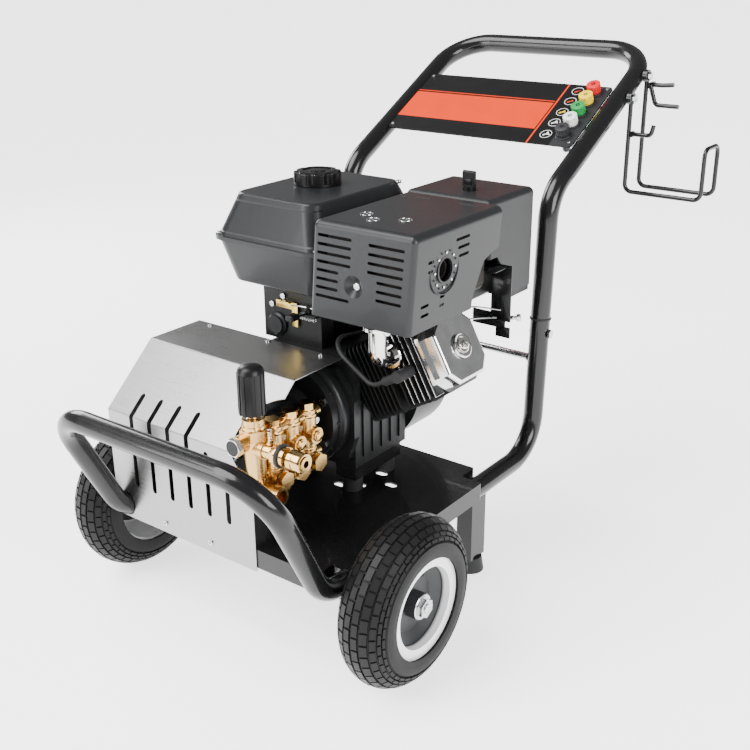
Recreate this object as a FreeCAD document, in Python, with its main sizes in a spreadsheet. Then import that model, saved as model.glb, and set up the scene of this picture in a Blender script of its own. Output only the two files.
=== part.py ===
"""Engine-driven pressure washer on a two-wheeled tube frame, as a parametric document.

The working axes are X to the machine's right, Y from the front bumper to the
handle, and Z up.  The working origin is on the floor under the middle of the
axle; the whole machine is then moved so that its origin is the middle of its
footprint.
"""
import FreeCAD, Part
import math
import os
import re
import Sketcher

# Driving dimensions, in millimetres and degrees.
SIZES = {
    # wheels and axle
    "wheel_radius": 130.0,
    "tyre_section": 43.0,
    "tyre_wall": 7.0,
    "wheel_track": 563.0,
    "rim_radius": 78.0,
    "rim_lip": 16.0,
    "rim_half_width": 36.0,
    "rim_wall": 3.0,
    "rim_dish": 12.0,
    "hub_radius": 20.0,
    "hub_half_length": 30.0,
    "axle_radius": 10.0,
    "axle_sleeve_radius": 12.0,
    "axle_end": 39.0,
    "running_gap": 0.06,
    "bench_gap": 0.3,
    # tube frame
    "tube_radius": 17.0,
    "tube_wall": 2.0,
    "rail_spread": 210.0,
    "rail_height": 159.5,
    "bumper_forward": 205.0,
    "bumper_height": 372.0,
    "bumper_foot": 97.0,
    "upright_lean": 2.8,
    "split_height": 405.0,
    "spigot_length": 60.0,
    "handle_lean": 28.5,
    "handle_knee_back": 508.0,
    "handle_knee_height": 616.7,
    "handle_reach": 367.0,
    "large_bend": 75.0,
    "handle_corner": 82.0,
    "brace_radius": 6.0,
    "brace_height": 331.0,
    # tray
    "tray_half_width": 229.0,
    "tray_front": 85.5,
    "tray_back": 328.0,
    "tray_top": 180.0,
    "tray_depth": 31.0,
    "tray_sheet": 3.0,
    "notch_width": 39.0,
    "notch_length": 39.0,
    "front_notch": 36.0,
    # rear stand
    "leg_back": 306.0,
    "leg_spread": 200.0,
    "leg_width": 30.0,
    "leg_depth": 42.0,
    "foot_height": 26.0,
    "foot_radius": 24.0,
    # pump cover
    "cover_left": 234.0,
    "cover_right": 74.0,
    "cover_front": 87.5,
    "cover_foot": 143.0,
    "cover_fold": 328.0,
    "cover_top": 417.0,
    "cover_shoulder": 12.0,
    "cover_back": 124.0,
    "cover_sheet": 1.5,
    "cover_slot_width": 9.0,
    "cover_slot_pitch": 40.5,
    "cover_slot_first": 180.0,
    "cover_slot_foot": 206.0,
    "cover_slot_top": 356.0,
    "notch_radius": 72.0,
    # engine
    "crank_x": 5.0,
    "crank_z": 320.0,
    "shaft_radius": 12.5,
    "engine_front": 128.0,
    "engine_depth": 134.0,
    "engine_left": 139.0,
    "engine_right": 91.0,
    "base_bottom": 230.0,
    "base_thickness": 16.0,
    "block_half_width": 104.0,
    "block_top": 412.0,
    "side_cover_radius": 88.0,
    "side_cover_depth": 30.0,
    "dipstick_x": -80.0,
    "dipstick_z": 261.0,
    "bearer_width": 40.0,
    "bearer_height": 25.0,
    "mount_radius": 17.0,
    "cylinder_tilt": 29.0,
    "cylinder_back": 205.0,
    "cylinder_start": 88.0,
    "cylinder_length": 84.0,
    "cylinder_radius": 52.0,
    "fin_half_width": 62.0,
    "fin_thickness": 2.4,
    "fin_pitch": 9.0,
    "head_length": 60.0,
    "rocker_length": 32.0,
    "rocker_radius": 58.0,
    # exhaust
    "guard_left": 60.0,
    "guard_right": 241.0,
    "guard_front": 80.0,
    "guard_back": 305.0,
    "guard_foot": 495.0,
    "guard_top": 641.0,
    "guard_taper": 12.0,
    "guard_sheet": 1.6,
    "louvre_length": 62.0,
    "louvre_height": 4.6,
    "louvre_pitch": 13.1,
    "dimple_z": 552.0,
    "exhaust_radius": 14.0,
    "exhaust_x": 154.0,
    "exhaust_y": 107.0,
    "exhaust_z": 434.0,
    "tail_hole_radius": 17.0,
    "tail_y": 158.0,
    "tail_z": 577.0,
    # fuel
    "tank_left": 190.0,
    "tank_right": 40.0,
    "tank_front": 110.0,
    "tank_back": 402.0,
    "tank_seam": 572.0,
    "tank_top": 642.0,
    "tank_foot": 498.0,
    "tank_bevel": 28.0,
    "tank_wall": 1.5,
    "tank_outlet_x": 2.0,
    "tank_outlet_y": 284.0,
    "filler_x": -88.0,
    "filler_y": 267.0,
    "filler_radius": 24.0,
    "cap_radius": 39.0,
    "cap_height": 20.0,
    # air cleaner
    "filter_left": 50.0,
    "filter_right": 210.0,
    "filter_front": 320.0,
    "filter_back": 457.0,
    "filter_foot": 477.0,
    "filter_step": 548.0,
    "filter_top": 641.0,
    "filter_wall": 2.5,
    "knob_x": 139.0,
    "knob_y": 370.0,
    "carb_x": 128.0,
    "carb_z": 452.0,
    # levers
    "throttle_x": -4.0,
    "throttle_y": 136.0,
    "throttle_z": 470.0,
    # starter side
    "flywheel_radius": 88.0,
    "flywheel_start": 276.0,
    "flywheel_depth": 44.0,
    "blower_radius": 110.0,
    "blower_back": 366.0,
    "recoil_radius": 92.0,
    "recoil_back": 412.0,
    "reel_radius": 42.0,
    "reel_depth": 14.0,
    "rope_rise": 36.0,
    "rope_y": 388.0,
    # pump
    "pump_left": 62.0,
    "pump_right": 46.0,
    "pump_front": 40.0,
    "pump_back": 56.0,
    "pump_half_height": 44.0,
    "flange_radius": 80.0,
    "flange_depth": 14.0,
    "manifold_front": 47.0,
    "manifold_back": 66.0,
    "manifold_foot": 262.0,
    "manifold_top": 360.0,
    "manifold_face": 52.0,
    "column_x": 68.0,
    "column_pitch": 38.0,
    "column_middle": 5.0,
    "column_radius": 14.0,
    "cap_hex": 11.0,
    "lower_cap_hex": 14.0,
    "lower_cap_height": 277.0,
    "unloader_x": 61.0,
    "unloader_y": -65.0,
    "unloader_radius": 16.0,
    "knob_foot": 390.0,
    "knob_height": 74.0,
    "knob_radius": 20.0,
    "outlet_height": 337.0,
    "outlet_length": 98.0,
    "outlet_bore": 5.5,
    "outlet_tip_radius": 10.5,
    "inlet_height": 269.0,
    "inlet_length": 49.0,
    "inlet_radius": 15.0,
    "inlet_bore": 10.5,
    # control panel and spray tips
    "panel_half_width": 194.5,
    "panel_length": 174.0,
    "panel_sheet": 3.0,
    "panel_lift": 11.0,
    "panel_middle": 684.0,
    "tip_x": 167.0,
    "tip_pitch": 31.4,
    "tip_middle": 4.5,
    "tip_radius": 7.0,
    "tip_head_radius": 13.5,
    "tip_head_height": 19.0,
    # gun cradle
    "wire_radius": 4.0,
    "cradle_front": 750.0,
    "cradle_back": 810.0,
    "cradle_reach": 143.0,
    "cradle_drop": 583.0,
    "cradle_rise": 672.0,
    "cradle_bend": 14.0,
    # where the machine's own origin lies in the working axes
    "origin_x": 0.0,
    "origin_y": 0.0,
}

NUTS = 1.1547    # across corners over across flats of a hexagon

doc = FreeCAD.newDocument("pressure_washer")
sheet = doc.addObject("Spreadsheet::Sheet", "Sizes")
for row, (alias, value) in enumerate(SIZES.items(), 1):
    sheet.set(f"A{row}", alias.replace("_", " "))
    sheet.set(f"B{row}", repr(value))
    sheet.setAlias(f"B{row}", alias)
doc.recompute()

WORD = re.compile(r"[a-z][a-z_]*")
PLANE_ROLES = {"xy": "XY_Plane", "xz": "XZ_Plane", "yz": "YZ_Plane"}
AXES = {
    "x": FreeCAD.Vector(1, 0, 0),
    "y": FreeCAD.Vector(0, 1, 0),
    "z": FreeCAD.Vector(0, 0, 1),
}
sub_parts = []
feet = {}


# ---------------------------------------------------------------- formulas

def formula(text):
    """A formula of size names, as FreeCAD's expressions want it."""
    def cell(match):
        word = match.group()
        return "Sizes." + word if word in SIZES else word
    return WORD.sub(cell, str(text))


def number(text):
    """The present value of a formula of size names."""
    value = sheet.evalExpression(formula(text))
    return float(getattr(value, "Value", value))


def point(x, y, z):
    return FreeCAD.Vector(number(x), number(y), number(z))


def bind(thing, **properties):
    """Ties properties of an object to formulas; double underscores stand for dots."""
    for name, text in properties.items():
        thing.setExpression(name.replace("__", "."), formula(text))


def place(thing, x="0", y="0", z="0", rotation=None):
    if rotation is not None:
        thing.Placement = FreeCAD.Placement(FreeCAD.Vector(), rotation)
    feet[thing.Name] = (x, y, z)
    bind(thing, Placement__Base__x=x, Placement__Base__y=y, Placement__Base__z=z)
    return thing


def sub_part(thing, label):
    """Names a finished piece and hangs its place on the machine's own origin."""
    x, y, z = feet.get(thing.Name, ("0", "0", "0"))
    thing.Label = label
    bind(thing, Placement__Base__x=f"{x} - origin_x", Placement__Base__y=f"{y} - origin_y")
    sub_parts.append(thing)
    return thing


# ---------------------------------------------------------------- primitives

def box(name, x, y, z, length, width, height):
    thing = doc.addObject("Part::Box", name)
    bind(thing, Length=length, Width=width, Height=height)
    return place(thing, x, y, z)


def cylinder(name, radius, length, x, y, z, axis="z"):
    thing = doc.addObject("Part::Cylinder", name)
    bind(thing, Radius=radius, Height=length)
    return place(thing, x, y, z, FreeCAD.Rotation(AXES["z"], AXES[axis]))


def cone(name, radius_low, radius_high, length, x, y, z, axis="z"):
    thing = doc.addObject("Part::Cone", name)
    bind(thing, Radius1=radius_low, Radius2=radius_high, Height=length)
    return place(thing, x, y, z, FreeCAD.Rotation(AXES["z"], AXES[axis]))


def torus(name, radius, section, x, y, z, axis="z"):
    thing = doc.addObject("Part::Torus", name)
    bind(thing, Radius1=radius, Radius2=section)
    return place(thing, x, y, z, FreeCAD.Rotation(AXES["z"], AXES[axis]))


def hexagon(name, flat_radius, length, x, y, z, axis="z"):
    thing = doc.addObject("Part::Prism", name)
    thing.Polygon = 6
    bind(thing, Circumradius=f"({flat_radius}) * {NUTS}", Height=length)
    return place(thing, x, y, z, FreeCAD.Rotation(AXES["z"], AXES[axis]))


def fuse(name, *pieces):
    thing = doc.addObject("Part::MultiFuse", name)
    thing.Shapes = list(pieces)
    thing.Refine = False
    return thing


def cut(name, base, *tools):
    for index, tool in enumerate(tools):
        thing = doc.addObject("Part::Cut", f"{name}_{index}" if index < len(tools) - 1 else name)
        thing.Base = base
        thing.Tool = tool
        base = thing
    return base


def group(name, *pieces):
    """Separate solids in one node."""
    thing = doc.addObject("Part::Compound", name)
    thing.Links = list(pieces)
    return thing


def along(edge, axis):
    """True for a straight edge that runs along an axis."""
    if edge.Curve.TypeId != "Part::GeomLine":
        return False
    return abs(edge.tangentAt(edge.FirstParameter).dot(AXES[axis])) > 0.999


def rounded(name, base, radius, pick):
    """A Part fillet on the edges that a test picks."""
    doc.recompute()
    thing = doc.addObject("Part::Fillet", name)
    thing.Base = base
    size = number(radius)
    thing.Edges = [(i, size, size) for i, edge in enumerate(base.Shape.Edges, 1) if pick(edge)]
    return thing


# ---------------------------------------------------------------- bodies

def new_body(name):
    return doc.addObject("PartDesign::Body", name)


def plane_sketch(body, plane, level):
    """A sketch on one of the body's own planes, lifted to a level along its axis."""
    wanted = PLANE_ROLES[plane]
    support = next(item for item in body.Origin.OriginFeatures if item.Role == wanted)
    sketch = body.newObject("Sketcher::SketchObject", body.Name + "_sketch")
    sketch.AttachmentSupport = [(support, "")]
    sketch.MapMode = "FlatFace"
    sign = "-1" if plane == "xz" else "1"
    bind(sketch, AttachmentOffset__Base__z=f"({level}) * {sign}")
    return sketch


def tie(sketch, geometry, corner, x, y):
    """Holds one point of a sketch at two formulas."""
    for kind, text in (("DistanceX", x), ("DistanceY", y)):
        index = sketch.addConstraint(
            Sketcher.Constraint(kind, -1, 1, geometry, corner, number(text)))
        sketch.setExpression(f"Constraints[{index}]", formula(text))


def draw_outline(sketch, points):
    """A closed outline of straight lines through points given as formulas."""
    places = [FreeCAD.Vector(number(x), number(y), 0) for x, y in points]
    first = sketch.GeometryCount
    count = len(points)
    for i in range(count):
        sketch.addGeometry(Part.LineSegment(places[i], places[(i + 1) % count]), False)
    for i in range(count):
        after = first + (i + 1) % count
        sketch.addConstraint(Sketcher.Constraint("Coincident", first + i, 2, after, 1))
        tie(sketch, first + i, 1, *points[i])


def draw_circle(sketch, x, y, radius):
    centre = FreeCAD.Vector(number(x), number(y), 0)
    circle = Part.Circle(centre, FreeCAD.Vector(0, 0, 1), number(radius))
    index = sketch.addGeometry(circle, False)
    tie(sketch, index, 3, x, y)
    held = sketch.addConstraint(Sketcher.Constraint("Radius", index, number(radius)))
    sketch.setExpression(f"Constraints[{held}]", formula(radius))


def draw_slot(sketch, x, y, length, width, upright=False):
    """A slot with round ends, centred on a point, along the sketch's X or Y."""
    reach = f"(({length}) - ({width})) / 2"
    half = f"({width}) / 2"
    if upright:
        ends = ((x, f"({y}) - {reach}"), (x, f"({y}) + {reach}"))
        sides = ((f"({x}) + {half}", 1), (f"({x}) - {half}", -1))
    else:
        ends = ((f"({x}) - {reach}", y), (f"({x}) + {reach}", y))
        sides = ((f"({y}) - {half}", 1), (f"({y}) + {half}", -1))
    turn = 90 if upright else 0
    radius = number(half)
    first = sketch.GeometryCount
    for (centre_x, centre_y), start in ((ends[0], 90 + turn), (ends[1], -90 + turn)):
        centre = FreeCAD.Vector(number(centre_x), number(centre_y), 0)
        circle = Part.Circle(centre, FreeCAD.Vector(0, 0, 1), radius)
        arc = Part.ArcOfCircle(circle, math.radians(start), math.radians(start + 180))
        index = sketch.addGeometry(arc, False)
        tie(sketch, index, 3, centre_x, centre_y)
        held = sketch.addConstraint(Sketcher.Constraint("Radius", index, radius))
        sketch.setExpression(f"Constraints[{held}]", formula(half))
    low, high = sketch.Geometry[first], sketch.Geometry[first + 1]
    one = sketch.addGeometry(Part.LineSegment(low.EndPoint, high.StartPoint), False)
    two = sketch.addGeometry(Part.LineSegment(high.EndPoint, low.StartPoint), False)
    sketch.addConstraint(Sketcher.Constraint("Tangent", first, 2, one, 1))
    sketch.addConstraint(Sketcher.Constraint("Tangent", one, 2, first + 1, 1))
    sketch.addConstraint(Sketcher.Constraint("Tangent", first + 1, 2, two, 1))
    sketch.addConstraint(Sketcher.Constraint("Tangent", two, 2, first, 1))


def pad(body, plane, start, thickness, draw):
    """A slab from start, of a thickness, towards the plane's positive axis."""
    level = f"({start}) + ({thickness})" if plane == "xz" else start
    sketch = plane_sketch(body, plane, level)
    draw(sketch)
    slab = body.newObject("PartDesign::Pad", body.Name + "_pad")
    slab.Profile = sketch
    bind(slab, Length=thickness)
    return slab


def pocket(body, plane, start, thickness, draw):
    """A cut over the same span as a pad would fill."""
    doc.recompute()
    before = body.Shape.Volume
    level = start if plane == "xz" else f"({start}) + ({thickness})"
    sketch = plane_sketch(body, plane, level)
    draw(sketch)
    hollow = body.newObject("PartDesign::Pocket", body.Name + "_pocket")
    hollow.Profile = sketch
    bind(hollow, Length=thickness)
    doc.recompute()
    if not body.Shape.Volume < before - 0.01:
        raise ValueError(f"a pocket of {body.Name} cuts nothing")
    return hollow


def turned(name, points, axis="x"):
    """A piece turned about X or Z, from an outline of (length, radius) formulas."""
    body = new_body(name)
    if axis == "x":
        sketch = plane_sketch(body, "xy", "0")
        draw_outline(sketch, points)
        line = "H_Axis"
    else:
        sketch = plane_sketch(body, "xz", "0")
        draw_outline(sketch, [(radius, length) for length, radius in points])
        line = "V_Axis"
    solid = body.newObject("PartDesign::Revolution", name + "_turn")
    solid.Profile = sketch
    solid.ReferenceAxis = (sketch, [line])
    solid.Angle = 360.0
    return body


def body_rounded(body, radius, pick):
    """A PartDesign fillet on the edges of a body's tip that a test picks."""
    doc.recompute()
    tip = body.Tip
    names = [f"Edge{i}" for i, edge in enumerate(tip.Shape.Edges, 1) if pick(edge)]
    soft = body.newObject("PartDesign::Fillet", body.Name + "_fillet")
    soft.Base = (tip, names)
    bind(soft, Radius=radius)
    return soft


# ---------------------------------------------------------------- bent tubes

def bent_path(corners, bends):
    """Straight runs joined by tangent arcs, through corners given in order."""
    edges = []
    last = corners[0]
    for i in range(1, len(corners) - 1):
        before = (corners[i] - corners[i - 1]).normalize()
        after = (corners[i + 1] - corners[i]).normalize()
        turn = before.getAngle(after)
        reach = bends[i - 1] * math.tan(turn / 2)
        start = corners[i] - before * reach
        end = corners[i] + after * reach
        inward = (after - before).normalize()
        middle = corners[i] + inward * (bends[i - 1] / math.cos(turn / 2) - bends[i - 1])
        if (start - last).Length > 1e-6:
            edges.append(Part.LineSegment(last, start).toShape())
        edges.append(Part.Arc(start, middle, end).toShape())
        last = end
    edges.append(Part.LineSegment(last, corners[-1]).toShape())
    return Part.Wire(edges)


def swept(path, radius):
    """A round bar along a path."""
    first = path.Edges[0]
    start = first.valueAt(first.FirstParameter)
    direction = first.tangentAt(first.FirstParameter)
    ring = Part.Wire([Part.makeCircle(radius, start, direction)])
    return path.makePipeShell([ring], True, False)


def feature(name, shape):
    thing = doc.addObject("Part::Feature", name)
    thing.Shape = shape
    return thing


# ================================================================ wheels

def wheel(side, sign):
    centre = f"{sign} * wheel_track / 2"
    carcass = torus(f"carcass_{side}", "wheel_radius - tyre_section", "tyre_section",
                    centre, "0", "wheel_radius", "x")
    air = torus(f"air_{side}", "wheel_radius - tyre_section", "tyre_section - tyre_wall",
                centre, "0", "wheel_radius", "x")
    seat = cylinder(f"seat_{side}", "rim_radius + bench_gap", "2 * tyre_section",
                    f"{centre} - tyre_section", "0", "wheel_radius", "x")
    sub_part(cut(f"tyre_{side}_ring", carcass, air, seat), f"tyre_{side}")

    bore = "axle_radius + running_gap"
    lip = "rim_radius - rim_lip"
    rim = turned(f"rim_{side}_body", [
        ("-hub_half_length", bore),
        ("hub_half_length", bore),
        ("hub_half_length", "hub_radius"),
        ("rim_dish", "hub_radius"),
        ("rim_dish", f"{lip} - 18"),
        ("rim_half_width - 14", f"{lip} - 2"),
        ("rim_half_width", lip),
        ("rim_half_width", "rim_radius"),
        ("-rim_half_width", "rim_radius"),
        ("-rim_half_width", "rim_radius - rim_wall"),
        ("rim_half_width - rim_wall", "rim_radius - rim_wall"),
        ("rim_half_width - rim_wall", f"{lip} + rim_wall"),
        ("rim_half_width - 16", f"{lip} + 1"),
        ("rim_dish - rim_wall", f"{lip} - 17"),
        ("rim_dish - rim_wall", "hub_radius"),
        ("-hub_half_length", "hub_radius"),
    ])
    turn = FreeCAD.Rotation(AXES["z"], 0 if sign > 0 else 180)
    place(rim, centre, "0", "wheel_radius", turn)
    sub_part(rim, f"rim_{side}")


wheel("left", -1)
wheel("right", 1)

SHOULDER = "wheel_track / 2 - hub_half_length - bench_gap"
END = "wheel_track / 2 + axle_end"
axle = turned("axle_bar", [
    (f"-({END})", "0"),
    (END, "0"),
    (END, "axle_radius"),
    (SHOULDER, "axle_radius"),
    (SHOULDER, "axle_sleeve_radius"),
    (f"-({SHOULDER})", "axle_sleeve_radius"),
    (f"-({SHOULDER})", "axle_radius"),
    (f"-({END})", "axle_radius"),
])
place(axle, "0", "0", "wheel_radius")
sub_part(axle, "axle")


# ================================================================ tray

TRAY_FLOOR = "tray_top - tray_depth"
UNDER_SHEET = "tray_top - tray_sheet"


def tray_outline(inset):
    side = f"tray_half_width - {inset}"
    front = f"-(tray_front - {inset})"
    back = f"tray_back - {inset}"
    step_x = f"tray_half_width - notch_width - {inset}"
    step_y = f"tray_back - notch_length - {inset}"
    ahead = f"-(tray_front - front_notch - {inset})"
    right = [(step_x, front), (step_x, ahead), (side, ahead),
             (side, step_y), (step_x, step_y), (step_x, back)]
    left = [(f"-({x})", y) for x, y in reversed(right)]
    return right + left


def make_tray():
    body = new_body("tray_body")
    pad(body, "xy", TRAY_FLOOR, "tray_depth", lambda s: draw_outline(s, tray_outline("0")))
    body_rounded(body, "4", lambda e: along(e, "z"))
    pocket(body, "xy", f"{TRAY_FLOOR} - 1", "tray_depth + 1 - tray_sheet",
           lambda s: draw_outline(s, tray_outline("tray_sheet")))
    # the rails run out through the flanges at the front and in the rear notches
    inner = "tray_half_width - notch_width"
    outer = "rail_spread + tube_radius + 0.5"
    for sign in (-1, 1):
        low = inner if sign > 0 else f"-({outer})"
        high = outer if sign > 0 else f"-({inner})"
        pocket(body, "xy", f"{TRAY_FLOOR} - 1", "tray_depth + 1 - tray_sheet", lambda s: draw_outline(s, [
            (low, "-tray_front - 1"), (high, "-tray_front - 1"),
            (high, "tray_back + 1"), (low, "tray_back + 1")]))
    # drain and bolt holes beside the engine's feet
    for x, y in (("75", "220"), ("71", "166"), ("43", "148"), ("112", "196"), ("-150", "96")):
        pocket(body, "xy", f"{UNDER_SHEET} - 1", "tray_sheet + 2",
               lambda s: draw_slot(s, x, y, "22", "13"))
    plates = []
    for name, sign in (("left", -1), ("right", 1)):
        plate = box(f"axle_plate_{name}", f"{sign} * 184 - 3", "-30", "wheel_radius - 22",
                    "6", "60", f"{UNDER_SHEET} - wheel_radius + 22")
        plates.append(plate)
    bore = cylinder("axle_plate_bore", "axle_sleeve_radius + running_gap", "400",
                    "-200", "0", "wheel_radius", "x")
    welded = fuse("tray_with_plates", body, *plates)
    sub_part(cut("tray_bored", welded, bore), "base_tray")


make_tray()


# ================================================================ tube frame

def upright_back(height):
    """Where the leaning uprights stand, at a height."""
    lean = math.tan(math.radians(number("upright_lean")))
    return number("handle_knee_back") - (number("handle_knee_height") - height) * lean


def mirrored(corners):
    """A path over the right side, repeated back down the left side."""
    left = [FreeCAD.Vector(-c.x, c.y, c.z) for c in reversed(corners)]
    return corners + left


def cross_hole(height, radius):
    """A drilling along X through both uprights."""
    start = FreeCAD.Vector(-number("rail_spread") - 40, upright_back(height), height)
    return Part.makeCylinder(radius, 2 * number("rail_spread") + 80, start, AXES["x"])


def make_frame():
    side = number("rail_spread")
    rail = number("rail_height")
    outer = number("tube_radius")
    inner = outer - number("tube_wall")
    split = number("split_height")
    bolt_height = split - 25

    lower = mirrored([
        FreeCAD.Vector(side, upright_back(split), split),
        FreeCAD.Vector(side, upright_back(rail), rail),
        FreeCAD.Vector(side, -number("bumper_foot"), rail),
        FreeCAD.Vector(side, -number("bumper_forward"), number("bumper_height")),
    ])
    large = number("large_bend")
    lower_path = bent_path(lower, [large, large * 0.8, large, large, large * 0.8, large])
    solid = swept(lower_path, outer)
    drilled = solid.cut(swept(lower_path, inner)).cut(cross_hole(bolt_height, 4.2))
    sub_part(feature("lower_frame_tube", drilled), "lower_frame")

    lean = math.radians(number("handle_lean"))
    knee = FreeCAD.Vector(side, number("handle_knee_back"), number("handle_knee_height"))
    reach = number("handle_reach")
    top = knee + FreeCAD.Vector(0, reach, reach * math.tan(lean))
    upper = mirrored([lower[0], knee, top])
    corner = number("handle_corner")
    path = bent_path(upper, [large, corner, corner, large])
    handle = swept(path, outer).cut(swept(path, inner))
    up = (knee - lower[0]).normalize()
    fit = inner - number("bench_gap") / 2
    length = number("spigot_length")
    for sign in (-1, 1):
        start = FreeCAD.Vector(sign * side, lower[0].y, lower[0].z)
        handle = handle.fuse(Part.makeCylinder(inner + 0.5, 12, start, up))
        handle = handle.fuse(Part.makeCylinder(fit, length + 4, start - up * length, up))
    handle = handle.removeSplitter().cut(cross_hole(bolt_height, 4.2))
    for place_y in ("cradle_front", "cradle_back"):
        handle = handle.cut(Part.makeCylinder(3.2, 60, cradle_eye(place_y, -30), AXES["x"]))
    sub_part(feature("handle_tube", handle), "handle_frame")

    height = number("brace_height")
    start = FreeCAD.Vector(-side, upright_back(height), height)
    brace = Part.makeCylinder(number("brace_radius"), 2 * side, start, AXES["x"])
    sub_part(feature("brace_bar", brace.cut(solid)), "cross_brace")
    return lower_path


def cradle_eye(place_y, off):
    """A point on the right handle tube's axis, moved sideways by off."""
    back = number(place_y)
    lean = math.tan(math.radians(number("handle_lean")))
    rise = number("handle_knee_height") + (back - number("handle_knee_back")) * lean
    return FreeCAD.Vector(number("rail_spread") + off, back, rise)


FRAME_PATH = make_frame()


def make_stand():
    legs = []
    pads = []
    top = "rail_height - tube_radius"
    for name, sign in (("left", -1), ("right", 1)):
        x = f"{sign} * leg_spread - leg_width / 2"
        y = "leg_back - leg_depth / 2"
        post = box(f"leg_{name}", x, y, "foot_height", "leg_width", "leg_depth",
                   f"{top} - foot_height")
        hollow = box(f"leg_hollow_{name}", f"{x} + 3", f"{y} + 3", "foot_height + 3",
                     "leg_width - 6", "leg_depth - 6", f"{top} - foot_height - 6")
        legs.append(cut(f"leg_tube_{name}", post, hollow))
        pads.append(cone(f"foot_{name}", "foot_radius", "foot_radius - 4", "foot_height",
                         f"{sign} * leg_spread", "leg_back", "0"))
    sub_part(group("legs", *legs), "rear_legs")
    sub_part(group("feet", *pads), "rear_feet")


make_stand()


# ================================================================ pump cover

def make_cover():
    body = new_body("cover_body")
    front = "-cover_front"
    fold = [("cover_foot", front), ("cover_fold", front), ("cover_top", "cover_shoulder"),
            ("cover_top", "cover_back"), ("cover_foot", "cover_back")]
    pad(body, "yz", "-cover_left", "cover_left + cover_right",
        lambda s: draw_outline(s, [(y, z) for z, y in fold]))
    body_rounded(body, "4", lambda e: along(e, "x") and e.BoundBox.ZMin > number("cover_fold") - 1)
    sheet_front = f"{front} + cover_sheet"
    rise = "(cover_top - cover_fold) / (cover_shoulder + cover_front)"
    slope = f"sqrt(1 + ({rise}) * ({rise}))"
    under_fold = f"cover_fold + cover_sheet * ({rise}) - cover_sheet * ({slope})"
    under_top = "cover_top - cover_sheet"
    shoulder = f"cover_shoulder - cover_sheet / ({rise}) + cover_sheet * ({slope}) / ({rise})"
    pocket(body, "yz", "-cover_left + cover_sheet", "cover_left + cover_right", lambda s: draw_outline(s, [
        (sheet_front, "cover_foot - 1"), (sheet_front, under_fold), (shoulder, under_top),
        ("cover_back + 1", under_top), ("cover_back + 1", "cover_foot - 1")]))
    tops = ["cover_slot_top"] * 4 + ["cover_fold - 14", "cover_fold - 44"]
    for i, top in enumerate(tops):
        x = f"-cover_slot_first + {i} * cover_slot_pitch"
        middle = f"(cover_slot_foot + {top}) / 2"
        length = f"{top} - cover_slot_foot"
        pocket(body, "xz", "-cover_front - 1", "60",
               lambda s: draw_slot(s, x, middle, length, "cover_slot_width", upright=True))
    notch = doc.addObject("Part::Sphere", "cover_notch")
    bind(notch, Radius="notch_radius")
    place(notch, "cover_right + 24", "-cover_front + 25.5", "cover_fold + 22")
    way = feature("cover_tube_way", swept(FRAME_PATH, number("tube_radius") + 1.5))
    sub_part(cut("cover_notched", body, notch, way), "pump_cover")


make_cover()


# ================================================================ engine

TILT = number("cylinder_tilt")
TILT_TURN = FreeCAD.Rotation(AXES["y"], -TILT)
BORE_AXIS = FreeCAD.Vector(math.cos(math.radians(TILT)), 0, math.sin(math.radians(TILT)))
ENGINE_BACK = "engine_front + engine_depth"
PLUG_ALONG = "cylinder_start + cylinder_length + 34"


def tilted(thing):
    """Places a piece, drawn along X from the crank's axis, on the inclined cylinder."""
    return place(thing, "crank_x", "cylinder_back", "crank_z", TILT_TURN)


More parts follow.
